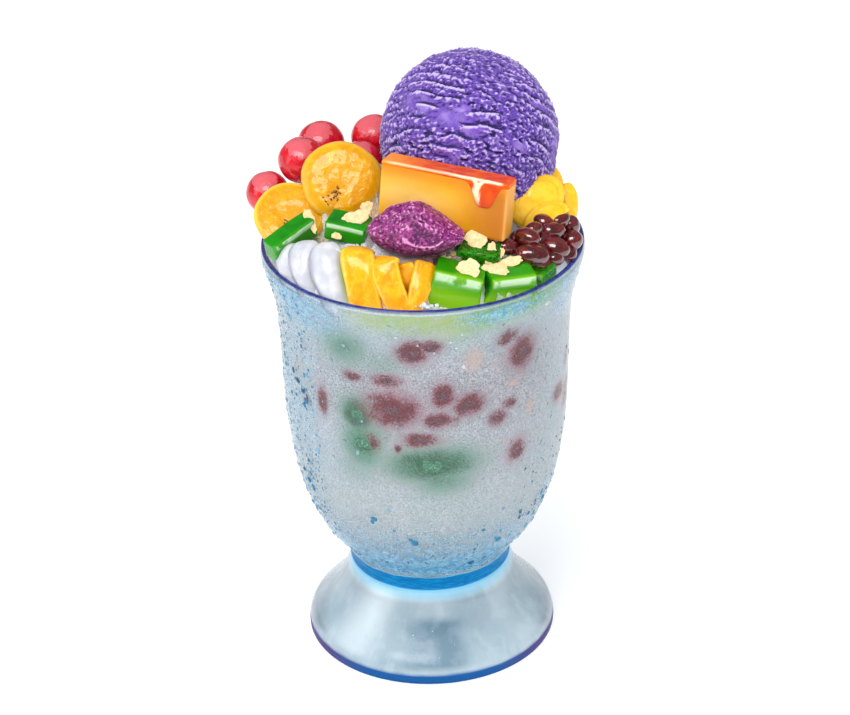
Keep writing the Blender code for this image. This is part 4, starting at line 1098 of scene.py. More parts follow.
# ------------------------------------------------------------------ ice cream
def make_scoop():
    n = 108
    way, F = ball_grid(n)
    at, R = np.array([16.0, 15.6, 174.6]), 28.8
    lumps = 0.022 * perlin(way * 3.1 + 4.0, 1) + 0.012 * perlin(way * 7.3, 2)
    skirt = 0.03 * np.exp(-(((way[:, 2] + 0.42) / 0.16) ** 2))
    bottom = np.where(way[:, 2] < -0.64, np.minimum(0.0, -0.64 / np.minimum(way[:, 2], -0.1) - 1.0), 0.0)
    # the scoop was dragged in arcs about this axis
    pole = np.array([-0.22, -0.62, -0.52])
    pole /= np.linalg.norm(pole)
    e1 = np.cross(pole, [0, 0, 1.0])
    e1 /= np.linalg.norm(e1)
    e2 = np.cross(pole, e1)
    u = np.arccos(np.clip(way @ pole, -1, 1))  # across the strokes
    v = np.arctan2(way @ e2, way @ e1)  # along them
    ring = np.stack([np.cos(v), np.sin(v), np.zeros_like(v)], -1)
    warp = perlin(np.stack([ring[:, 0] * 1.3, ring[:, 1] * 1.3, u * 1.4], -1) + 3.0, 21)
    warp2 = perlin(np.stack([ring[:, 0] * 4.0, ring[:, 1] * 4.0, u * 4.5], -1), 22)
    # torn ledges: a slow rise, then a drop
    s = u * 6.8 + warp * 1.2 + warp2 * 0.32
    frac = s - np.floor(s)
    ledge = np.where(frac < 0.82, frac / 0.82, (1 - frac) / 0.18)
    strength = step(-0.25, 0.35, perlin(np.stack([ring[:, 0] * 2.2, ring[:, 1] * 2.2, u * 2.6], -1) + 9.0, 23))
    ledge_h = 1.0 * (ledge - 0.5) * strength
    under = step(0.80, 0.90, frac) * step(1.0, 0.93, frac) * strength
    # fine drag lines
    lines = perlin(np.stack([ring[:, 0] * 3.0, ring[:, 1] * 3.0, u * 26.0], -1), 24)
    # crumbs and pits, drawn out along the strokes
    C = np.stack([ring[:, 0] * R * 0.8, ring[:, 1] * R * 0.8, u * R], -1)
    bend = 0.8 * np.stack([perlin(C * 0.16, 61), perlin(C * 0.16, 62), 1.6 * perlin(C * 0.16, 63)], -1)
    C = C + bend
    a1 = perlin(C * np.array([0.50, 0.50, 0.66]) + 1.0, 25)
    a2 = perlin(C * np.array([0.92, 0.92, 1.15]) + 5.0, 26)
    a3 = perlin(C * np.array([1.5, 1.5, 1.7]) + 8.0, 29)
    crumb = 0.7 * (0.28 - np.abs(a1)) * 1.6 + 0.95 * a2 + 0.75 * a3
    cut = perlin(C * np.array([0.34, 0.34, 0.85]) + 11.0, 28) + 0.45 * a2
    pits = step(0.26, 0.50, cut)
    where = fbm(np.stack([ring[:, 0] * 2.6, ring[:, 1] * 2.6, u * 5.4], -1) + 2.0, 3, 27)
    crumbly = step(-0.60, -0.34, where)
    # smooth streaks at the upper left and the right edge
    smooth_at = np.exp(-(((way - np.array([-0.50, -0.52, 0.66])) ** 2) @ np.array([7.0, 9.0, 110.0]))) + 0.9 * np.exp(-(((way - np.array([-0.10, -0.80, 0.56])) ** 2) @ np.array([16.0, 12.0, 150.0]))) + np.exp(-(((way - np.array([-0.25, -0.92, 0.25])) ** 2) @ np.array([60.0, 30.0, 60.0]))) + step(0.84, 0.95, way[:, 0] * 0.92 - way[:, 1] * 0.1)
    crumbly = crumbly * (1 - np.clip(smooth_at, 0, 1) * 0.85)
    d = ledge_h + 0.22 * lines * (1 - 0.5 * crumbly) + crumbly * (0.62 * crumb - 1.25 * pits) - 0.9 * under + 0.10 * a2
    d = np.clip(d, -2.2, 1.2)
    radius = R * (1.0 + lumps + skirt) * (1.0 + bottom)
    V = at + way * (radius + d * step(-0.70, -0.60, way[:, 2]))[:, None]
    # low: the relief's fine detail, high on crumbs and low in pits; the material paints highlights and shade from it
    hollow = d - soften(d, F, 10)
    low = np.clip(0.5 + hollow / (2.6 * hollow.std()) + 0.10 * np.clip(d, -1.5, 0.5), 0, 1)
    piece(
        "yam_ice_cream", V, F, look_yam_cream(), replaces=("ice_cream",), slot="yam_ice_cream",
        marks=dict(low=low, smear=np.clip(1 - crumbly, 0, 1)),
    )


make_scoop()

# ------------------------------------------------------------------ custard
FLAN_TURN = turn_matrix((-5.8, 3.5, -21.9))
FLAN_AT = np.array([7.9, -18.2, 169.1])


def make_flan():
    V, F, own = boxed((42.6, 8.2, 18.6), 1.0, (60, 14, 30))
    V = V + normals_of(V, outward(V, F)) * (0.10 * fbm(V * 0.30, 3, 31) + 0.04 * perlin(V * 1.6, 32))[:, None]
    pale = np.exp(-(((own[:, 0] + 0.45) / 0.5) ** 2) - ((own[:, 2] + 0.15) / 0.5) ** 2) * 0.75 + 0.25 * step(0.93, 1.0, own[:, 0])
    piece(
        "custard_slice", FLAN_AT + (V + [0, 0, 0.2]) @ FLAN_TURN.T, F, look_custard(), replaces=("custard",), slot="custard",
        marks=dict(up=own[:, 2], along=own[:, 0], pale=np.clip(pale, 0, 1)),
    )
    V, F, own = boxed((42.7, 8.6, 2.5), 1.0, (90, 22, 6))
    # the glaze rolls over the front edge and runs down in one lobe near its right end
    x = V[:, 0]
    lobe = np.exp(-(((x - 13.6) / 3.9) ** 4))
    lip = 0.45 + 0.22 * perlin(np.stack([x * 0.22, 0 * x, 0 * x], -1), 33) - 1.75 * step(10.5, 5.0, x) - 0.9 * step(17.5, 19.5, x)
    front = step(-0.55, -0.98, own[:, 1]) * step(0.2, -0.9, own[:, 2])
    V[:, 2] -= front * (lip + 6.4 * lobe)
    V[:, 1] -= front * (0.15 + 0.30 * lobe)
    V[:, 2] += 0.16 * fbm(V * 0.22, 2, 34) * (own[:, 2] > 0.5)
    edge_highlight = step(-0.80, -0.93, own[:, 1]) * step(0.25, 0.75, own[:, 2]) * step(-0.98, -0.80, own[:, 0]) * step(0.93, 0.87, own[:, 0])
    edge_highlight *= 0.55 + 0.45 * step(-0.05, 0.35, own[:, 0])
    # painted highlight: a cream strip along the glaze's front edge, and a forked streak over the drip
    forked_highlight = np.minimum(np.abs(x - 9.6 - 2.2 * step(0.9, -0.9, own[:, 2])), np.abs(x - 14.4 + 4.0 * step(0.9, -0.6, own[:, 2])))
    forked_highlight = step(1.0, 0.55, forked_highlight) * step(-0.75, -0.95, own[:, 1]) * step(-0.95, -0.4, own[:, 2]) * (x > 8.0) * (x < 15.5)
    edge_highlight = np.clip(edge_highlight + forked_highlight, 0, 1)
    lines = 0.5 * step(0.30, 0.42, perlin(np.stack([x * 0.05, V[:, 1] * 1.1, 0 * x], -1) + 4.0, 36)) * (own[:, 2] > 0.5) * (own[:, 1] > -0.7)
    piece(
        "caramel_glaze", FLAN_AT + (V + [0, 0, 9.1]) @ FLAN_TURN.T, F, look_caramel(), replaces=("caramel",), slot="caramel",
        marks=dict(along=own[:, 0], edge_highlight=0.95 * edge_highlight, lines=lines, deep=0.7 * front * lobe),
    )


make_flan()


# ------------------------------------------------------------------ yam jam
def make_jam():
    way, F = ball_grid(72)
    half = np.array([15.2, 8.2, 7.8])
    P = way * half
    to = np.array([0.20, -0.93, 0.20])
    to /= np.linalg.norm(to)
    gap = way - to
    hollow = np.sqrt((gap[:, 0] * 1.0) ** 2 + (gap[:, 1] * 0.5) ** 2 + (gap[:, 2] * 1.1) ** 2)
    below = step(0.02, -0.18, gap[:, 2])
    lip = np.exp(-(((hollow - 0.40) / 0.055) ** 2)) * below
    f1, f2 = cells(P * np.array([0.13, 0.16, 0.20]) + 3.0, 42)
    edges = step(0.20, 0.02, f2 - f1)
    grain = 0.022 * perlin(P * 0.85, 44) + 0.022 * perlin(P * 1.7, 45) - 0.05 * step(0.34, 0.60, perlin(P * 0.6 + 4.0, 46)) + 0.03 * perlin(P * np.array([0.2, 0.5, 0.7]) + 2.0, 47)
    k = 1.0 + 0.05 * perlin(way * 2.6 + 7.0, 41) - 0.13 * np.exp(-((hollow / 0.30) ** 2)) + 0.07 * lip * step(-0.9, 0.2, perlin(way * 5.0, 48)) + 0.19 * (0.45 - f1) + 0.015 * edges + grain
    V = P * k[:, None]
    # a peak in the middle, falling to a tip at the right
    x = V[:, 0] / 15.0
    tall = np.where(V[:, 2] > 0, np.where(x < 0, 1.26 * (1 - 0.34 * np.abs(x) ** 1.6), 1.26 * (1 - 0.72 * np.clip(x, 0, 2) ** 1.15)), 1.0 - 0.25 * np.clip(x, 0, 1))
    V[:, 2] *= tall
    # low: raised grains and the lip high, pits and the hollow low; the material paints highlight and shade from it
    raised = k - soften(k, F, 12)
    low = np.clip(0.48 + raised / (3.4 * raised.std()) - 0.22 * np.exp(-((hollow / 0.32) ** 2)) + 0.30 * lip, 0, 1)
    # under: painted shade over the lower side
    piece(
        "yam_jam_dollop", np.array([-1.9, -30.4, 163.9]) + V @ turn_matrix((0, 4, -6)).T, F, look_jam(), replaces=("yam_jam",), slot="yam_jam",
        marks=dict(low=low, under=0.75 * step(0.05, -0.75, way[:, 2] + 0.12 * perlin(way * 4.0, 49)) * (1 - lip)),
    )


make_jam()

# ------------------------------------------------------------------ cherries
CHERRIES = {
    "cherry_1": ((-50.4, 17.6, 156.0), 7.2, (20, -30, 0)),
    "cherry_2": ((-38.9, 19.4, 166.6), 7.8, (10, -25, 30)),
    "cherry_3": ((-33.0, 35.4, 165.0), 7.9, (-15, -10, 60)),
    "cherry_4": ((-15.0, 36.6, 166.4), 7.9, (-10, 20, 10)),
    "cherry_5": ((-19.6, 20.4, 164.4), 7.6, (5, 15, 80)),
}
cherry_look = look_cherry()
for n, (name, (at, r, turn)) in enumerate(CHERRIES.items()):
    way, F = ball_grid(26)
    dimple = np.exp(-(((1.0 + way[:, 1] * -1.0) / 0.05) ** 2))
    k = 1.0 - 0.14 * dimple + 0.020 * fbm(way * 1.6 + 5 * n, 2, 51)
    V = way * np.array([r, r, r * 0.97]) * k[:, None]
    V = V @ turn_matrix(turn).T
    # up: how far each point faces up and to the front, towards the key lamp, for the painted highlight
    piece(f"sweet_{name}", np.array(at) + V, F, cherry_look, replaces=(name,), slot="cherry", marks=dict(up=(V / r) @ np.array([-0.12, -0.45, 0.885]), stem=step(0.3, 0.9, dimple)))


# ------------------------------------------------------------------ slices
def slab(radii, thick, edge, flat=0.0, rings=34, segs=112, power=2.0):
    """A round slice as a closed polar grid: its face looks along +Z at z = 0.
    Returns points, faces, and each point's share of the radius."""
    face = np.linspace(0.03, 1, rings) ** 0.9
    rows = []
    for t in face * (1 - edge / min(radii)):
        rows.append((t, 0.0))
    for a in np.linspace(0, 90, 7)[1:]:
        rows.append((1 - edge / min(radii) * (1 - math.sin(math.radians(a))), -edge * (1 - math.cos(math.radians(a)))))
    for z in np.linspace(-edge, -(thick - edge), 6)[1:]:
        rows.append((1.0 - 0.05 * (-z - edge) / thick, z))
    for a in np.linspace(90, 0, 6)[1:]:
        rows.append((0.95 - edge / min(radii) * (1 - math.sin(math.radians(a))), -thick + edge * (1 - math.cos(math.radians(a)))))
    for t in (0.7, 0.4, 0.1):
        rows.append((t * 0.9, -thick))
    rows = np.array(rows)
    a = np.linspace(0, 2 * math.pi, segs, endpoint=False)
    T = np.repeat(rows[:, 0], segs)
    Z = np.repeat(rows[:, 1], segs)
    A = np.tile(a, len(rows))
    x, y = T * np.cos(A), T * np.sin(A)
    x, y = x * radii[0], y * radii[1]
    if flat:
        low = y < -flat * radii[1]
        y = np.where(low, -flat * radii[1] + 0.25 * (y + flat * radii[1]), y)
    V = np.stack([x, y, Z], -1)
    V = np.concatenate([V, [[0, 0, 0], [0, 0, -thick]]])
    n = len(rows)
    on_face = np.append((np.repeat(np.arange(n), segs) < rings).astype(float), [1.0, 0.0])
    return V, fans(around(n, segs), n, segs, n * segs, n * segs + 1), np.append(T, [0, 0]), np.append(A, [0, 0]), on_face


def make_bananas():
    look = look_banana()
    for name, at, radii, thick, R, seedy in (
        ("banana_1", (-42.6, -1.6, 157.6), (11.9, 11.6), 5.2, facing(-4, 50, 10), 0.35),
        ("banana_2", (-25.6, 0.6, 168.2), (13.2, 12.8), 7.0, facing(2, 34, 0), 1.0),
    ):
        big = name == "banana_2"
        V, F, T, A, on = slab(radii, thick, 3.3 if big else 1.9)
        wob = 1 + 0.018 * np.sin(A * 3 + 1.0) + 0.012 * np.sin(A * 5 + radii[0])
        V[:, :2] *= wob[:, None]
        lobes = 0.5 + 0.5 * np.cos(3 * (A - 0.5))  # three seed chambers
        core_r = 0.30 + 0.07 * lobes
        core = step(core_r + 0.10, core_r - 0.06, T) * on
        V[:, 2] -= on * (0.30 * core + (0.0 if big else 0.22) * np.exp(-(((T - 0.84) / 0.04) ** 2)))
        V[:, 2] += on * 0.14 * fbm(V * 0.4, 3, 61) + on * (0.9 if big else 0.25) * (1 - T**2)
        if name == "banana_2":  # a cut edge that stands out at the left of the core
            V[:, 2] -= on * 0.5 * np.exp(-(((V[:, 0] + 1.0) ** 2 + (V[:, 1] + 3.0) ** 2) / 4.0))
        # painted highlight: the small slice's pale rim, strongest on its upper-left side
        upper = step(-0.2, 0.8, np.sin(A - 0.6))
        rim = np.exp(-(((T - 0.95) / 0.06) ** 2)) * (0.5 if big else 0.4 + 0.6 * upper)
        line = on * np.exp(-(((T - 0.86) / 0.03) ** 2)) * (0.0 if big else 0.6 * upper)
        pale = on * np.clip(fbm(V * 0.22 + 3.0, 2, 62) * 1.6 + 0.2, 0, 1) * step(0.95, 0.75, T) * (0.8 if big else 0.3)
        seeds = on * seedy * np.exp(-(((V[:, 0] + 0.8) / 3.6) ** 2) - ((V[:, 1] + 5.2) / 3.6) ** 2)
        piece(f"{name}_slice", np.array(at) + V @ R.T, F, look, replaces=(name,), slot="banana", marks=dict(rim=rim, core=core, pale=pale, line=line, seedy=seeds))
    # seeds: small dark grains that show at the cores
    pile = Pile()
    B, BF = ball_grid(3)
    spots = [((-25.6, 0.6, 168.2), facing(2, 34, 0), p, s) for p, s in (
        ((-2.2, -4.2), 0.55), ((-1.7, -5.3), 0.5), ((-2.6, -5.9), 0.45), ((-3.6, -6.6), 0.4), ((-1.3, -2.9), 0.4), ((-4.4, -5.4), 0.32), ((-3.2, -4.6), 0.3),
        ((-5.3, -7.2), 0.3), ((-1.5, -6.9), 0.35), ((-0.6, -4.7), 0.3), ((-4.6, -8.2), 0.3), ((-6.2, -5.9), 0.25),
    )]
    spots += [((-42.6, -1.6, 157.6), facing(-4, 50, 10), p, s) for p, s in (((-1.7, -2.2), 0.3), ((-1.1, -3.0), 0.35), ((-2.1, -3.3), 0.25))]
    for at, R, (x, y), s in spots:
        spin = rng.uniform(0, 3.14)
        long = np.array([[math.cos(spin), -math.sin(spin), 0], [math.sin(spin), math.cos(spin), 0], [0, 0, 1]])
        V = (B * np.array([s * 1.5, s * 0.8, s * 0.5])) @ long.T + np.array([x, y, 0.62 if at[2] > 160 else 0.1])
        pile.add(np.array(at) + V @ R.T, BF)
    k = Look("banana_seeds")
    base = k.mix(k.span(k.noise(1.6, 2.0), 0.35, 0.65), srgb("#3A1A06"), srgb("#6B3A12"))
    pile.make("banana_seeds", k.done(k.shade(Base_Color=base, Roughness=0.25, Coat_Weight=0.8)), slot="banana")


make_bananas()


def make_fruit():
    look = look_fruit()
    for name, at, radii, thick, R, flat, edge in (
        ("fruit_1", (37.2, -7.0, 162.4), (10.2, 7.4), 5.2, facing(10, 36, 38), 0.0, 1.6),
        ("fruit_2", (41.6, 7.0, 160.6), (7.6, 5.4), 4.0, facing(20, 30, 80), 0.0, 1.5),
        ("fruit_3", (48.2, 1.6, 157.2), (6.6, 3.4), 4.2, facing(30, 24, 78), 0.0, 1.3),
        ("fruit_4", (40.0, -11.4, 158.2), (8.2, 5.4), 3.6, facing(12, 40, 22), 0.15, 1.2),
    ):
        V, F, T, A, on = slab(radii, thick, edge, flat, rings=24, segs=80)
        V[:, 2] += on * (0.6 * (1 - T**2) + 0.18 * fbm(V * 0.45, 2, 66))
        rim = on * np.exp(-(((T - 0.88) / 0.06) ** 2))
        line = on * np.exp(-(((T - 0.74) / 0.04) ** 2)) * 0.7
        piece(f"{name}_slice", np.array(at) + V @ R.T, F, look, replaces=(name,), slot="yellow_fruit", marks=dict(rim=rim, line=line))


make_fruit()


# ------------------------------------------------------------------ strips
def ribbon(path, widths, across, thick, crown=0.0, rows=72, cols=44, ripple=0.0, seed=0, taper=0.10, grow=1.0):
    """A bent strip: an oval section, crowned on its outer side."""
    line = spline(path, rows)
    ahead = np.gradient(line, axis=0)
    ahead /= np.linalg.norm(ahead, axis=1)[:, None]
    across = np.array(across, float)
    side = across - ahead * (ahead @ across)[:, None]
    side /= np.linalg.norm(side, axis=1)[:, None]
    out = np.cross(ahead, side)
    middle = line[rows // 2]
    if out[rows // 2] @ (middle - np.array([0, 0, 138.0])) < 0:
        out = -out
    s = np.linspace(0, 1, rows)
    half = np.interp(s * (len(widths) - 1), np.arange(len(widths)), widths) / 2 * grow
    end = np.sqrt(np.clip(1 - (1 - np.clip(s / taper, 0, 1)) ** 2, 0.02, 1)) * np.sqrt(np.clip(1 - (1 - np.clip((1 - s) / taper, 0, 1)) ** 2, 0.02, 1))
    a = np.linspace(0, 2 * math.pi, cols, endpoint=False)
    cu = np.sign(np.cos(a)) * np.abs(np.cos(a)) ** 0.75
    cw = np.sign(np.sin(a)) * np.abs(np.sin(a)) ** 0.8
    S = np.repeat(s, cols)
    U = np.tile(cu, rows)
    W = np.tile(cw, rows)
    E = np.repeat(end, cols)
    H = np.repeat(half, cols)
    wave = ripple * perlin(np.stack([U * 2.2, S * 3.0, S * 0 + seed], -1), 70 + seed)
    w = W * thick / 2 * E + (crown * (1 - U**2) * np.where(W > 0, 1.0, 0.6) + wave) * E
    P = np.repeat(line, cols, axis=0) + np.repeat(side, cols, axis=0) * (U * H * (0.25 + 0.75 * E))[:, None] + np.repeat(out, cols, axis=0) * w[:, None]
    V = np.concatenate([P, [line[0]], [line[-1]]])
    F = fans(around(rows, cols), rows, cols, rows * cols, rows * cols + 1)
    return V, F, np.append(U, [0, 0]), np.append(S, [0, 1]), np.append(W, [0, 0])


def make_coconut():
    look = look_coconut()
    rows = {
        "coconut_1": ([(-40.0, -25.2, 144.6), (-42.0, -22.9, 149.4), (-40.8, -21.6, 152.4), (-38.0, -20.8, 152.6)], (6.6, 9.4, 8.4), (0.93, -0.35, 0.05)),
        "coconut_2": ([(-35.2, -32.0, 144.8), (-37.4, -28.0, 151.8), (-36.4, -24.6, 155.0), (-33.6, -22.6, 154.6)], (6.6, 9.6, 8.6), (0.95, -0.28, 0.05)),
        "coconut_3": ([(-27.2, -39.5, 145.0), (-29.9, -35.2, 152.4), (-29.9, -30.3, 156.8), (-27.2, -27.8, 156.6)], (7.6, 9.6, 8.2), (0.96, -0.25, 0.05)),
    }
    for n, (name, (path, widths, across)) in enumerate(rows.items()):
        path = [(path[0][0] + 2.4, path[0][1] + 0.2, path[0][2] - 3.2)] + path
        V, F, U, S, W = ribbon(path, (widths[0] * 0.8, *widths), across, 2.2, crown=2.0, ripple=0.15, seed=n, grow=1.22, taper=0.12)
        # painted shade along the strip's edges, where the lobes crease, and at its upper end
        fold = step(0.62, 1.0, np.abs(U)) * 1.1 + 0.5 * step(0.14, 0.0, 1 - S)
        wet = step(0.62, 0.95, U) * (0.9 if n == 2 else 0.0)
        piece(f"{name}_strip", V, F, look, replaces=(name,), slot="coconut", marks=dict(fold=np.clip(fold, 0, 1), wet=wet))


make_coconut()


def make_jackfruit():
    look = look_jackfruit()
    rows = {
        "jackfruit_1": ([(-18.0, -44.4, 144.6), (-19.4, -41.4, 153.6), (-20.4, -36.6, 159.0), (-19.6, -32.4, 158.6)], (9.0, 9.4, 8.8), (0.97, -0.22, -0.05), 2.6),
        "jackfruit_2": ([(-7.6, -46.2, 144.8), (-10.6, -43.8, 152.4), (-12.0, -40.8, 157.0), (-10.8, -37.6, 158.4)], (6.8, 7.8, 7.8), (0.96, 0.10, 0.28), 2.2),
        "jackfruit_3": ([(-5.4, -40.0, 151.4), (-5.6, -38.8, 154.4), (-6.2, -38.2, 157.0)], (5.4, 5.8, 5.0), (0.94, -0.20, -0.20), 1.8),
        "jackfruit_4": ([(-2.8, -45.6, 145.6), (-1.4, -43.4, 150.0), (0.5, -39.4, 154.2), (1.0, -36.6, 155.6)], (5.2, 6.8, 6.8), (0.92, 0.10, -0.38), 2.2),
    }
    for n, (name, (path, widths, across, thick)) in enumerate(rows.items()):
        path = [(path[0][0] + (1.2, 0.6, 1.2, -2.2)[n], path[0][1] + 0.4, path[0][2] - 3.6)] + path
        V, F, U, S, W = ribbon(path, (widths[0], *widths), across, thick, crown=0.5, ripple=0.35, seed=n + 5, taper=0.05, grow=1.16)
        fold = step(0.10, 0.0, S) * 0.6 + step(0.80, 1.0, np.abs(U)) * (W < 0.2) * 0.6
        # painted highlight: lighter stripes near both edges on the strip's outer side
        edge = np.exp(-(((np.abs(U) - 0.86) / 0.07) ** 2)) * (W > 0)
        piece(f"{name}_strip", V, F, look, replaces=(name,), slot="jackfruit", marks=dict(fold=np.clip(fold, 0, 1), edge=edge * 0.7))


make_jackfruit()


# ------------------------------------------------------------------ green jelly
def make_jelly():
    look = look_jelly()
    rows = {
        "jelly_1": ((-42.0, -15.4, 155.4), (17.2, 6.6, 7.6), (7.2, -15.6, 38.9), 0.0, 0.15, 0),
        "jelly_2": ((-23.4, -18.8, 160.2), (13.4, 9.8, 6.4), (3.6, 8.4, -14.1), 0.0, 0.05, 0),
        "jelly_3": ((10.6, -38.8, 148.8), (15.6, 10.4, 12.6), (2.2, 11.0, -8.0), 1.0, 0.1, 0),
        "jelly_4": ((26.4, -35.5, 147.0), (15.4, 9.4, 11.6), (10.0, 3.0, 20.0), 1.0, 0.1, 0),
        "jelly_5": ((17.4, -28.0, 154.6), (13.6, 10.4, 8.0), (14.0, 10.0, -6.0), 0.2, 0.0, 1),
        "jelly_6": ((37.0, -27.4, 145.4), (7.0, 8.4, 8.0), (8.0, 4.0, -35.0), 0.6, 0.2, 0.6),
    }
    for n, (name, (at, size, turn, glow, base, cut)) in enumerate(rows.items()):
        V, F, own = boxed(size, 0.95, (20, 16, 14))
        V = V + 0.30 * np.stack([perlin(V * 0.11 + n, 80), perlin(V * 0.11 + n, 81), perlin(V * 0.11 + n, 82)], -1)
        N = normals_of(V, outward(V, F))
        V = V + N * (0.07 * fbm(V * 0.5, 2, 83) + cut * 0.45 * fbm(V * 0.8, 3, 84))[:, None]
        if glow >= 1.0:  # the cut block spreads where it leans on the wall
            sag = step(0.5, -1.0, own[:, 2])
            V[:, 0] += sag * (-5.2 if name == "jelly_3" else -3.6) * step(0.5, -1.0, own[:, 0])
            V[:, 1] -= 0.8 * sag * step(0.0, -1.0, own[:, 1])
        front = step(-0.5, -1.0, own[:, 1])
        shine = base + glow * front * (0.35 + 0.65 * step(0.9, -0.7, own[:, 2])) + 0.25 * front * (1 - glow) + 0.35 * glow * step(0.3, 1.0, own[:, 2])
        # painted highlight: a pale strip along the front-top edge of the smooth blocks
        strip = 0.8 * (1 - cut) * step(-0.74, -0.90, own[:, 1]) * step(0.40, 0.62, own[:, 2]) * step(1.0, 0.9, own[:, 2]) * step(0.97, 0.85, np.abs(own[:, 0]))
        piece(f"{name}_block", np.array(at) + V @ turn_matrix(turn).T, F, look, replaces=(name,), slot="green_jelly", marks=dict(glow=np.clip(shine, 0, 1), cut=np.full(len(V), float(cut)), strip=strip))


make_jelly()


# ------------------------------------------------------------------ red beans
def make_beans():
    look = look_bean()
    pile = Pile()
    B, BF = ball_grid(14)
    rows = [
        ((26.8, -26.4, 155.6), (3.6, 2.6, 2.6), 10, 0), ((32.7, -24.0, 157.7), (4.6, 2.9, 2.9), -40, 0), ((35.2, -19.0, 158.0), (3.0, 2.2, 2.2), 20, 0),
        ((41.1, -15.4, 155.4), (4.2, 2.9, 2.8), 10, 0), ((47.6, -6.4, 152.6), (3.3, 2.9, 3.6), 60, 0), ((41.6, -20.0, 151.8), (4.9, 3.7, 3.5), -20, 0),
        ((48.2, -13.6, 151.2), (3.2, 2.8, 3.0), 60, 0), ((34.2, -29.0, 154.0), (5.3, 3.3, 3.2), -5, 0), ((41.8, -23.4, 149.6), (2.8, 2.4, 2.4), 30, 0),
        ((22.6, -26.6, 159.0), (2.5, 1.9, 1.9), 15, 0),
        # under and behind those, seen from the side and back
        ((44.2, -9.6, 156.4), (3.6, 2.6, 2.6), 40, 0), ((38.6, -12.6, 157.4), (3.6, 2.6, 2.5), -20, 0), ((46.6, -16.6, 147.6), (3.0, 2.6, 2.6), 70, 0),
        ((37.0, -26.0, 149.2), (3.8, 2.6, 2.6), 0, 0), ((30.6, -29.8, 151.8), (3.2, 2.5, 2.4), 20, 0), ((47.4, -10.0, 148.4), (2.8, 2.6, 2.6), 40, 0),
        ((30.4, -21.6, 156.4), (3.4, 2.6, 2.5), 30, 0), ((38.0, -17.4, 153.6), (4.0, 3.0, 3.0), 50, 0), ((33.0, -19.4, 155.0), (3.6, 2.6, 2.6), 10, 0),
    ]
    for n, (at, half, turn, _) in enumerate(rows):
        k = 1 + 0.045 * perlin(B * 1.7 + 3 * n, 90) + 0.02 * perlin(B * 4.0 + n, 91)
        V = B * np.array(half) * (1.06 if n < 10 else 1.0) * k[:, None]
        # the side with the eye is a little hollow
        V[:, 1] += 0.10 * half[1] * (1 - (V[:, 0] / half[0]) ** 2) * step(0.0, 1.0, V[:, 1] / half[1])
        eye = np.exp(-(((B[:, 0]) / 0.22) ** 2) - ((B[:, 2] + 0.1) / 0.16) ** 2) * (B[:, 1] > 0)
        M = turn_matrix((rng.uniform(-12, 12), rng.uniform(-14, 14), turn))
        pile.add(np.array(at) + V @ M.T, BF, eye=eye)
    way, F = ball_grid(20)
    core = way * np.array([14.0, 4.6, 2.4]) * (1 + 0.08 * perlin(way * 3, 92))[:, None]
    pile.add(np.array([38.0, -18.8, 151.8]) + core @ turn_matrix((0, 9, 47.6)).T, F, eye=0.0)
    pile.make("red_beans", look, replaces=("bean_heap",), slot="red_bean")


make_beans()


# ------------------------------------------------------------------ rice flakes
def make_flakes():
    pile = Pile()
    rows = [  # middle, half length, half width, what it faces (azimuth, elevation), spin
        ((17.0, -28.6, 160.2), 3.7, 3.3, (0, 50), 10), ((10.0, -31.6, 156.4), 5.0, 1.3, (0, 60), 8), ((21.4, -32.2, 155.9), 4.0, 2.1, (18, 35), 75),
        ((14.2, -40.6, 155.7), 3.7, 3.3, (0, 55), -40), ((22.6, -37.8, 153.9), 4.4, 2.0, (0, 66), -14), ((26.8, -33.6, 154.2), 4.6, 1.7, (0, 58), 12),
        ((-20.6, -19.0, 164.0), 4.3, 2.7, (0, 62), 12), ((-17.4, -12.4, 164.2), 2.1, 1.9, (0, 40), 30), ((-35.6, -13.0, 160.2), 4.2, 1.5, (-10, 35), -62),
        ((-27.0, -24.0, 160.0), 1.7, 1.2, (0, 50), -20), ((19.0, -28.6, 158.6), 1.6, 1.1, (20, 50), 40), ((24.6, -30.8, 156.0), 1.8, 1.0, (10, 45), 70),
    ]
    for n, (at, a, b, way, spin) in enumerate(rows):
        V, F, T, A, on = slab((a, b), 0.62, 0.22, rings=12, segs=44)
        wob = 1 + 0.10 * np.sin(A * 3 + n) + 0.06 * np.sin(A * 7 + 2 * n) + 0.04 * np.sin(A * 11 + n)
        V[:, :2] *= (1 + (wob - 1) * T)[:, None]
        V[:, 2] += 0.28 * fbm(V * np.array([0.45, 0.45, 0.0]) + n, 3, 95) + 0.04 * ((V[:, 0] / a) ** 2) * a
        pile.add(np.array(at) + V @ facing(way[0], way[1], spin).T, F)
    pile.make("rice_flakes", look_flake())


make_flakes()


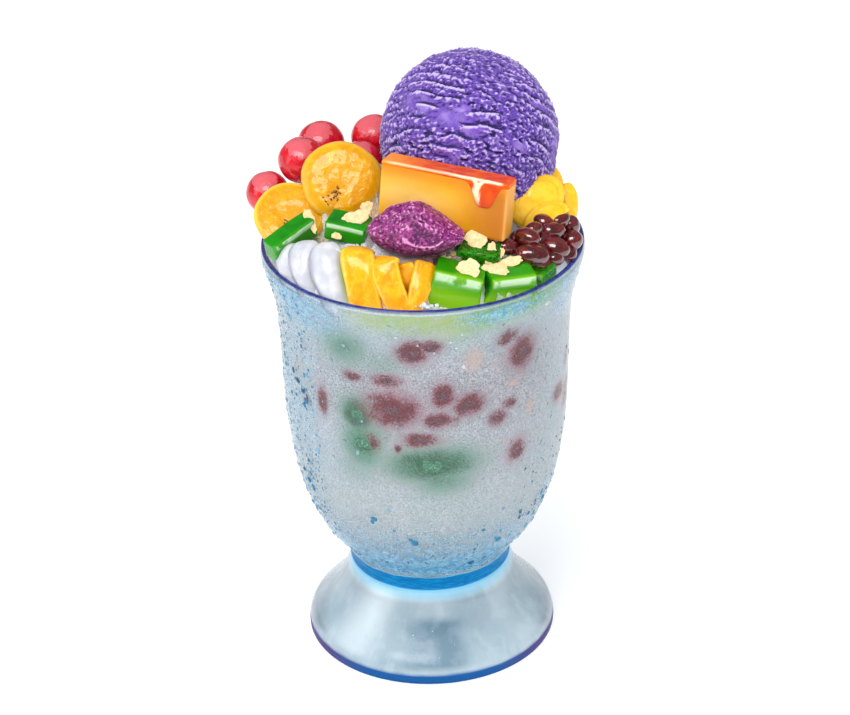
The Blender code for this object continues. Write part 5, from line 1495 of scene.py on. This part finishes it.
# ------------------------------------------------------------------ floor, light, camera
def make_stage():
    mesh = bpy.data.meshes.new("floor")
    s = 6.0
    mesh.from_pydata([(-s, -s, 0), (s, -s, 0), (s, s, 0), (-s, s, 0)], [], [(0, 1, 2, 3)])
    floor = bpy.data.objects.new("floor", mesh)
    floor.location.z = g_lo.z - 0.0002
    mesh.materials.append(look_floor())
    bpy.context.scene.collection.objects.link(floor)

    world = bpy.data.worlds.new("studio")
    bpy.context.scene.world = world
    world.use_nodes = True
    back = world.node_tree.nodes["Background"]
    back.inputs["Color"].default_value = (0.97, 0.985, 1.0, 1.0)
    # what glossy surfaces mirror is the lamps more than the room
    tree = world.node_tree
    path = tree.nodes.new("ShaderNodeLightPath")
    level = tree.nodes.new("ShaderNodeMapRange")
    level.inputs["To Min"].default_value = 0.63
    level.inputs["To Max"].default_value = 0.20
    tree.links.new(path.outputs["Is Glossy Ray"], level.inputs["Value"])
    tree.links.new(level.outputs["Result"], back.inputs["Strength"])

    def lamp(name, at, aim, size, power, mirrored=True, colour=(1, 1, 1)):
        data = bpy.data.lights.new(name, "AREA")
        data.shape = "RECTANGLE"
        data.size, data.size_y = size
        data.energy = power
        data.color = colour
        made = bpy.data.objects.new(name, data)
        made.location = at
        made.visible_glossy = mirrored
        made.rotation_euler = (Vector(aim) - Vector(at)).to_track_quat("-Z", "Y").to_euler()
        bpy.context.scene.collection.objects.link(made)

    lamp("softbox_key", (-0.18, -0.42, 0.74), (0, 0, 0.15), (0.50, 0.30), 3.5)
    lamp("softbox_left", (-0.75, -0.25, 0.42), (0, 0, 0.10), (0.30, 0.55), 1.2)
    lamp("ceiling", (0.0, 0.5, 3.0), (0, 0, 0.1), (3.0, 3.0), 22.0, False)
    lamp("fill_right", (0.95, -0.45, 0.35), (0, 0, 0.10), (0.5, 0.6), 2.2, False)
    lamp("fill_front", (0.35, -1.5, 0.55), (0, 0, 0.1), (0.8, 0.6), 5.0, False)


make_stage()


def make_camera():
    # the pose is fitted to the goblet's ellipses
    away, high, pitch, long, roll, shift = 816.93, 548.0, 0.4993, 2802.5, -0.0249, 0.51
    data = bpy.data.cameras.new("camera")
    data.sensor_fit = "HORIZONTAL"
    data.sensor_width = 36.0
    data.lens = long * 36.0 / 850
    data.shift_x = -shift / 850
    data.clip_start, data.clip_end = 0.05, 20.0
    camera = bpy.data.objects.new("camera", data)
    ahead = Vector((0, math.cos(pitch), -math.sin(pitch)))
    up = Vector((0, math.sin(pitch), math.cos(pitch)))
    right = Vector((1, 0, 0))
    R = right * math.cos(roll) + up * math.sin(roll)
    U = up * math.cos(roll) - right * math.sin(roll)
    camera.matrix_world = Matrix(
        (
            (R.x, U.x, -ahead.x, OFF[0]),
            (R.y, U.y, -ahead.y, OFF[1] - away * UNIT),
            (R.z, U.z, -ahead.z, OFF[2] + high * UNIT),
            (0, 0, 0, 1),
        )
    )
    bpy.context.scene.collection.objects.link(camera)
    bpy.context.scene.camera = camera
    bpy.context.scene.view_settings.view_transform = "Standard"


make_camera()

bpy.context.view_layer.update()
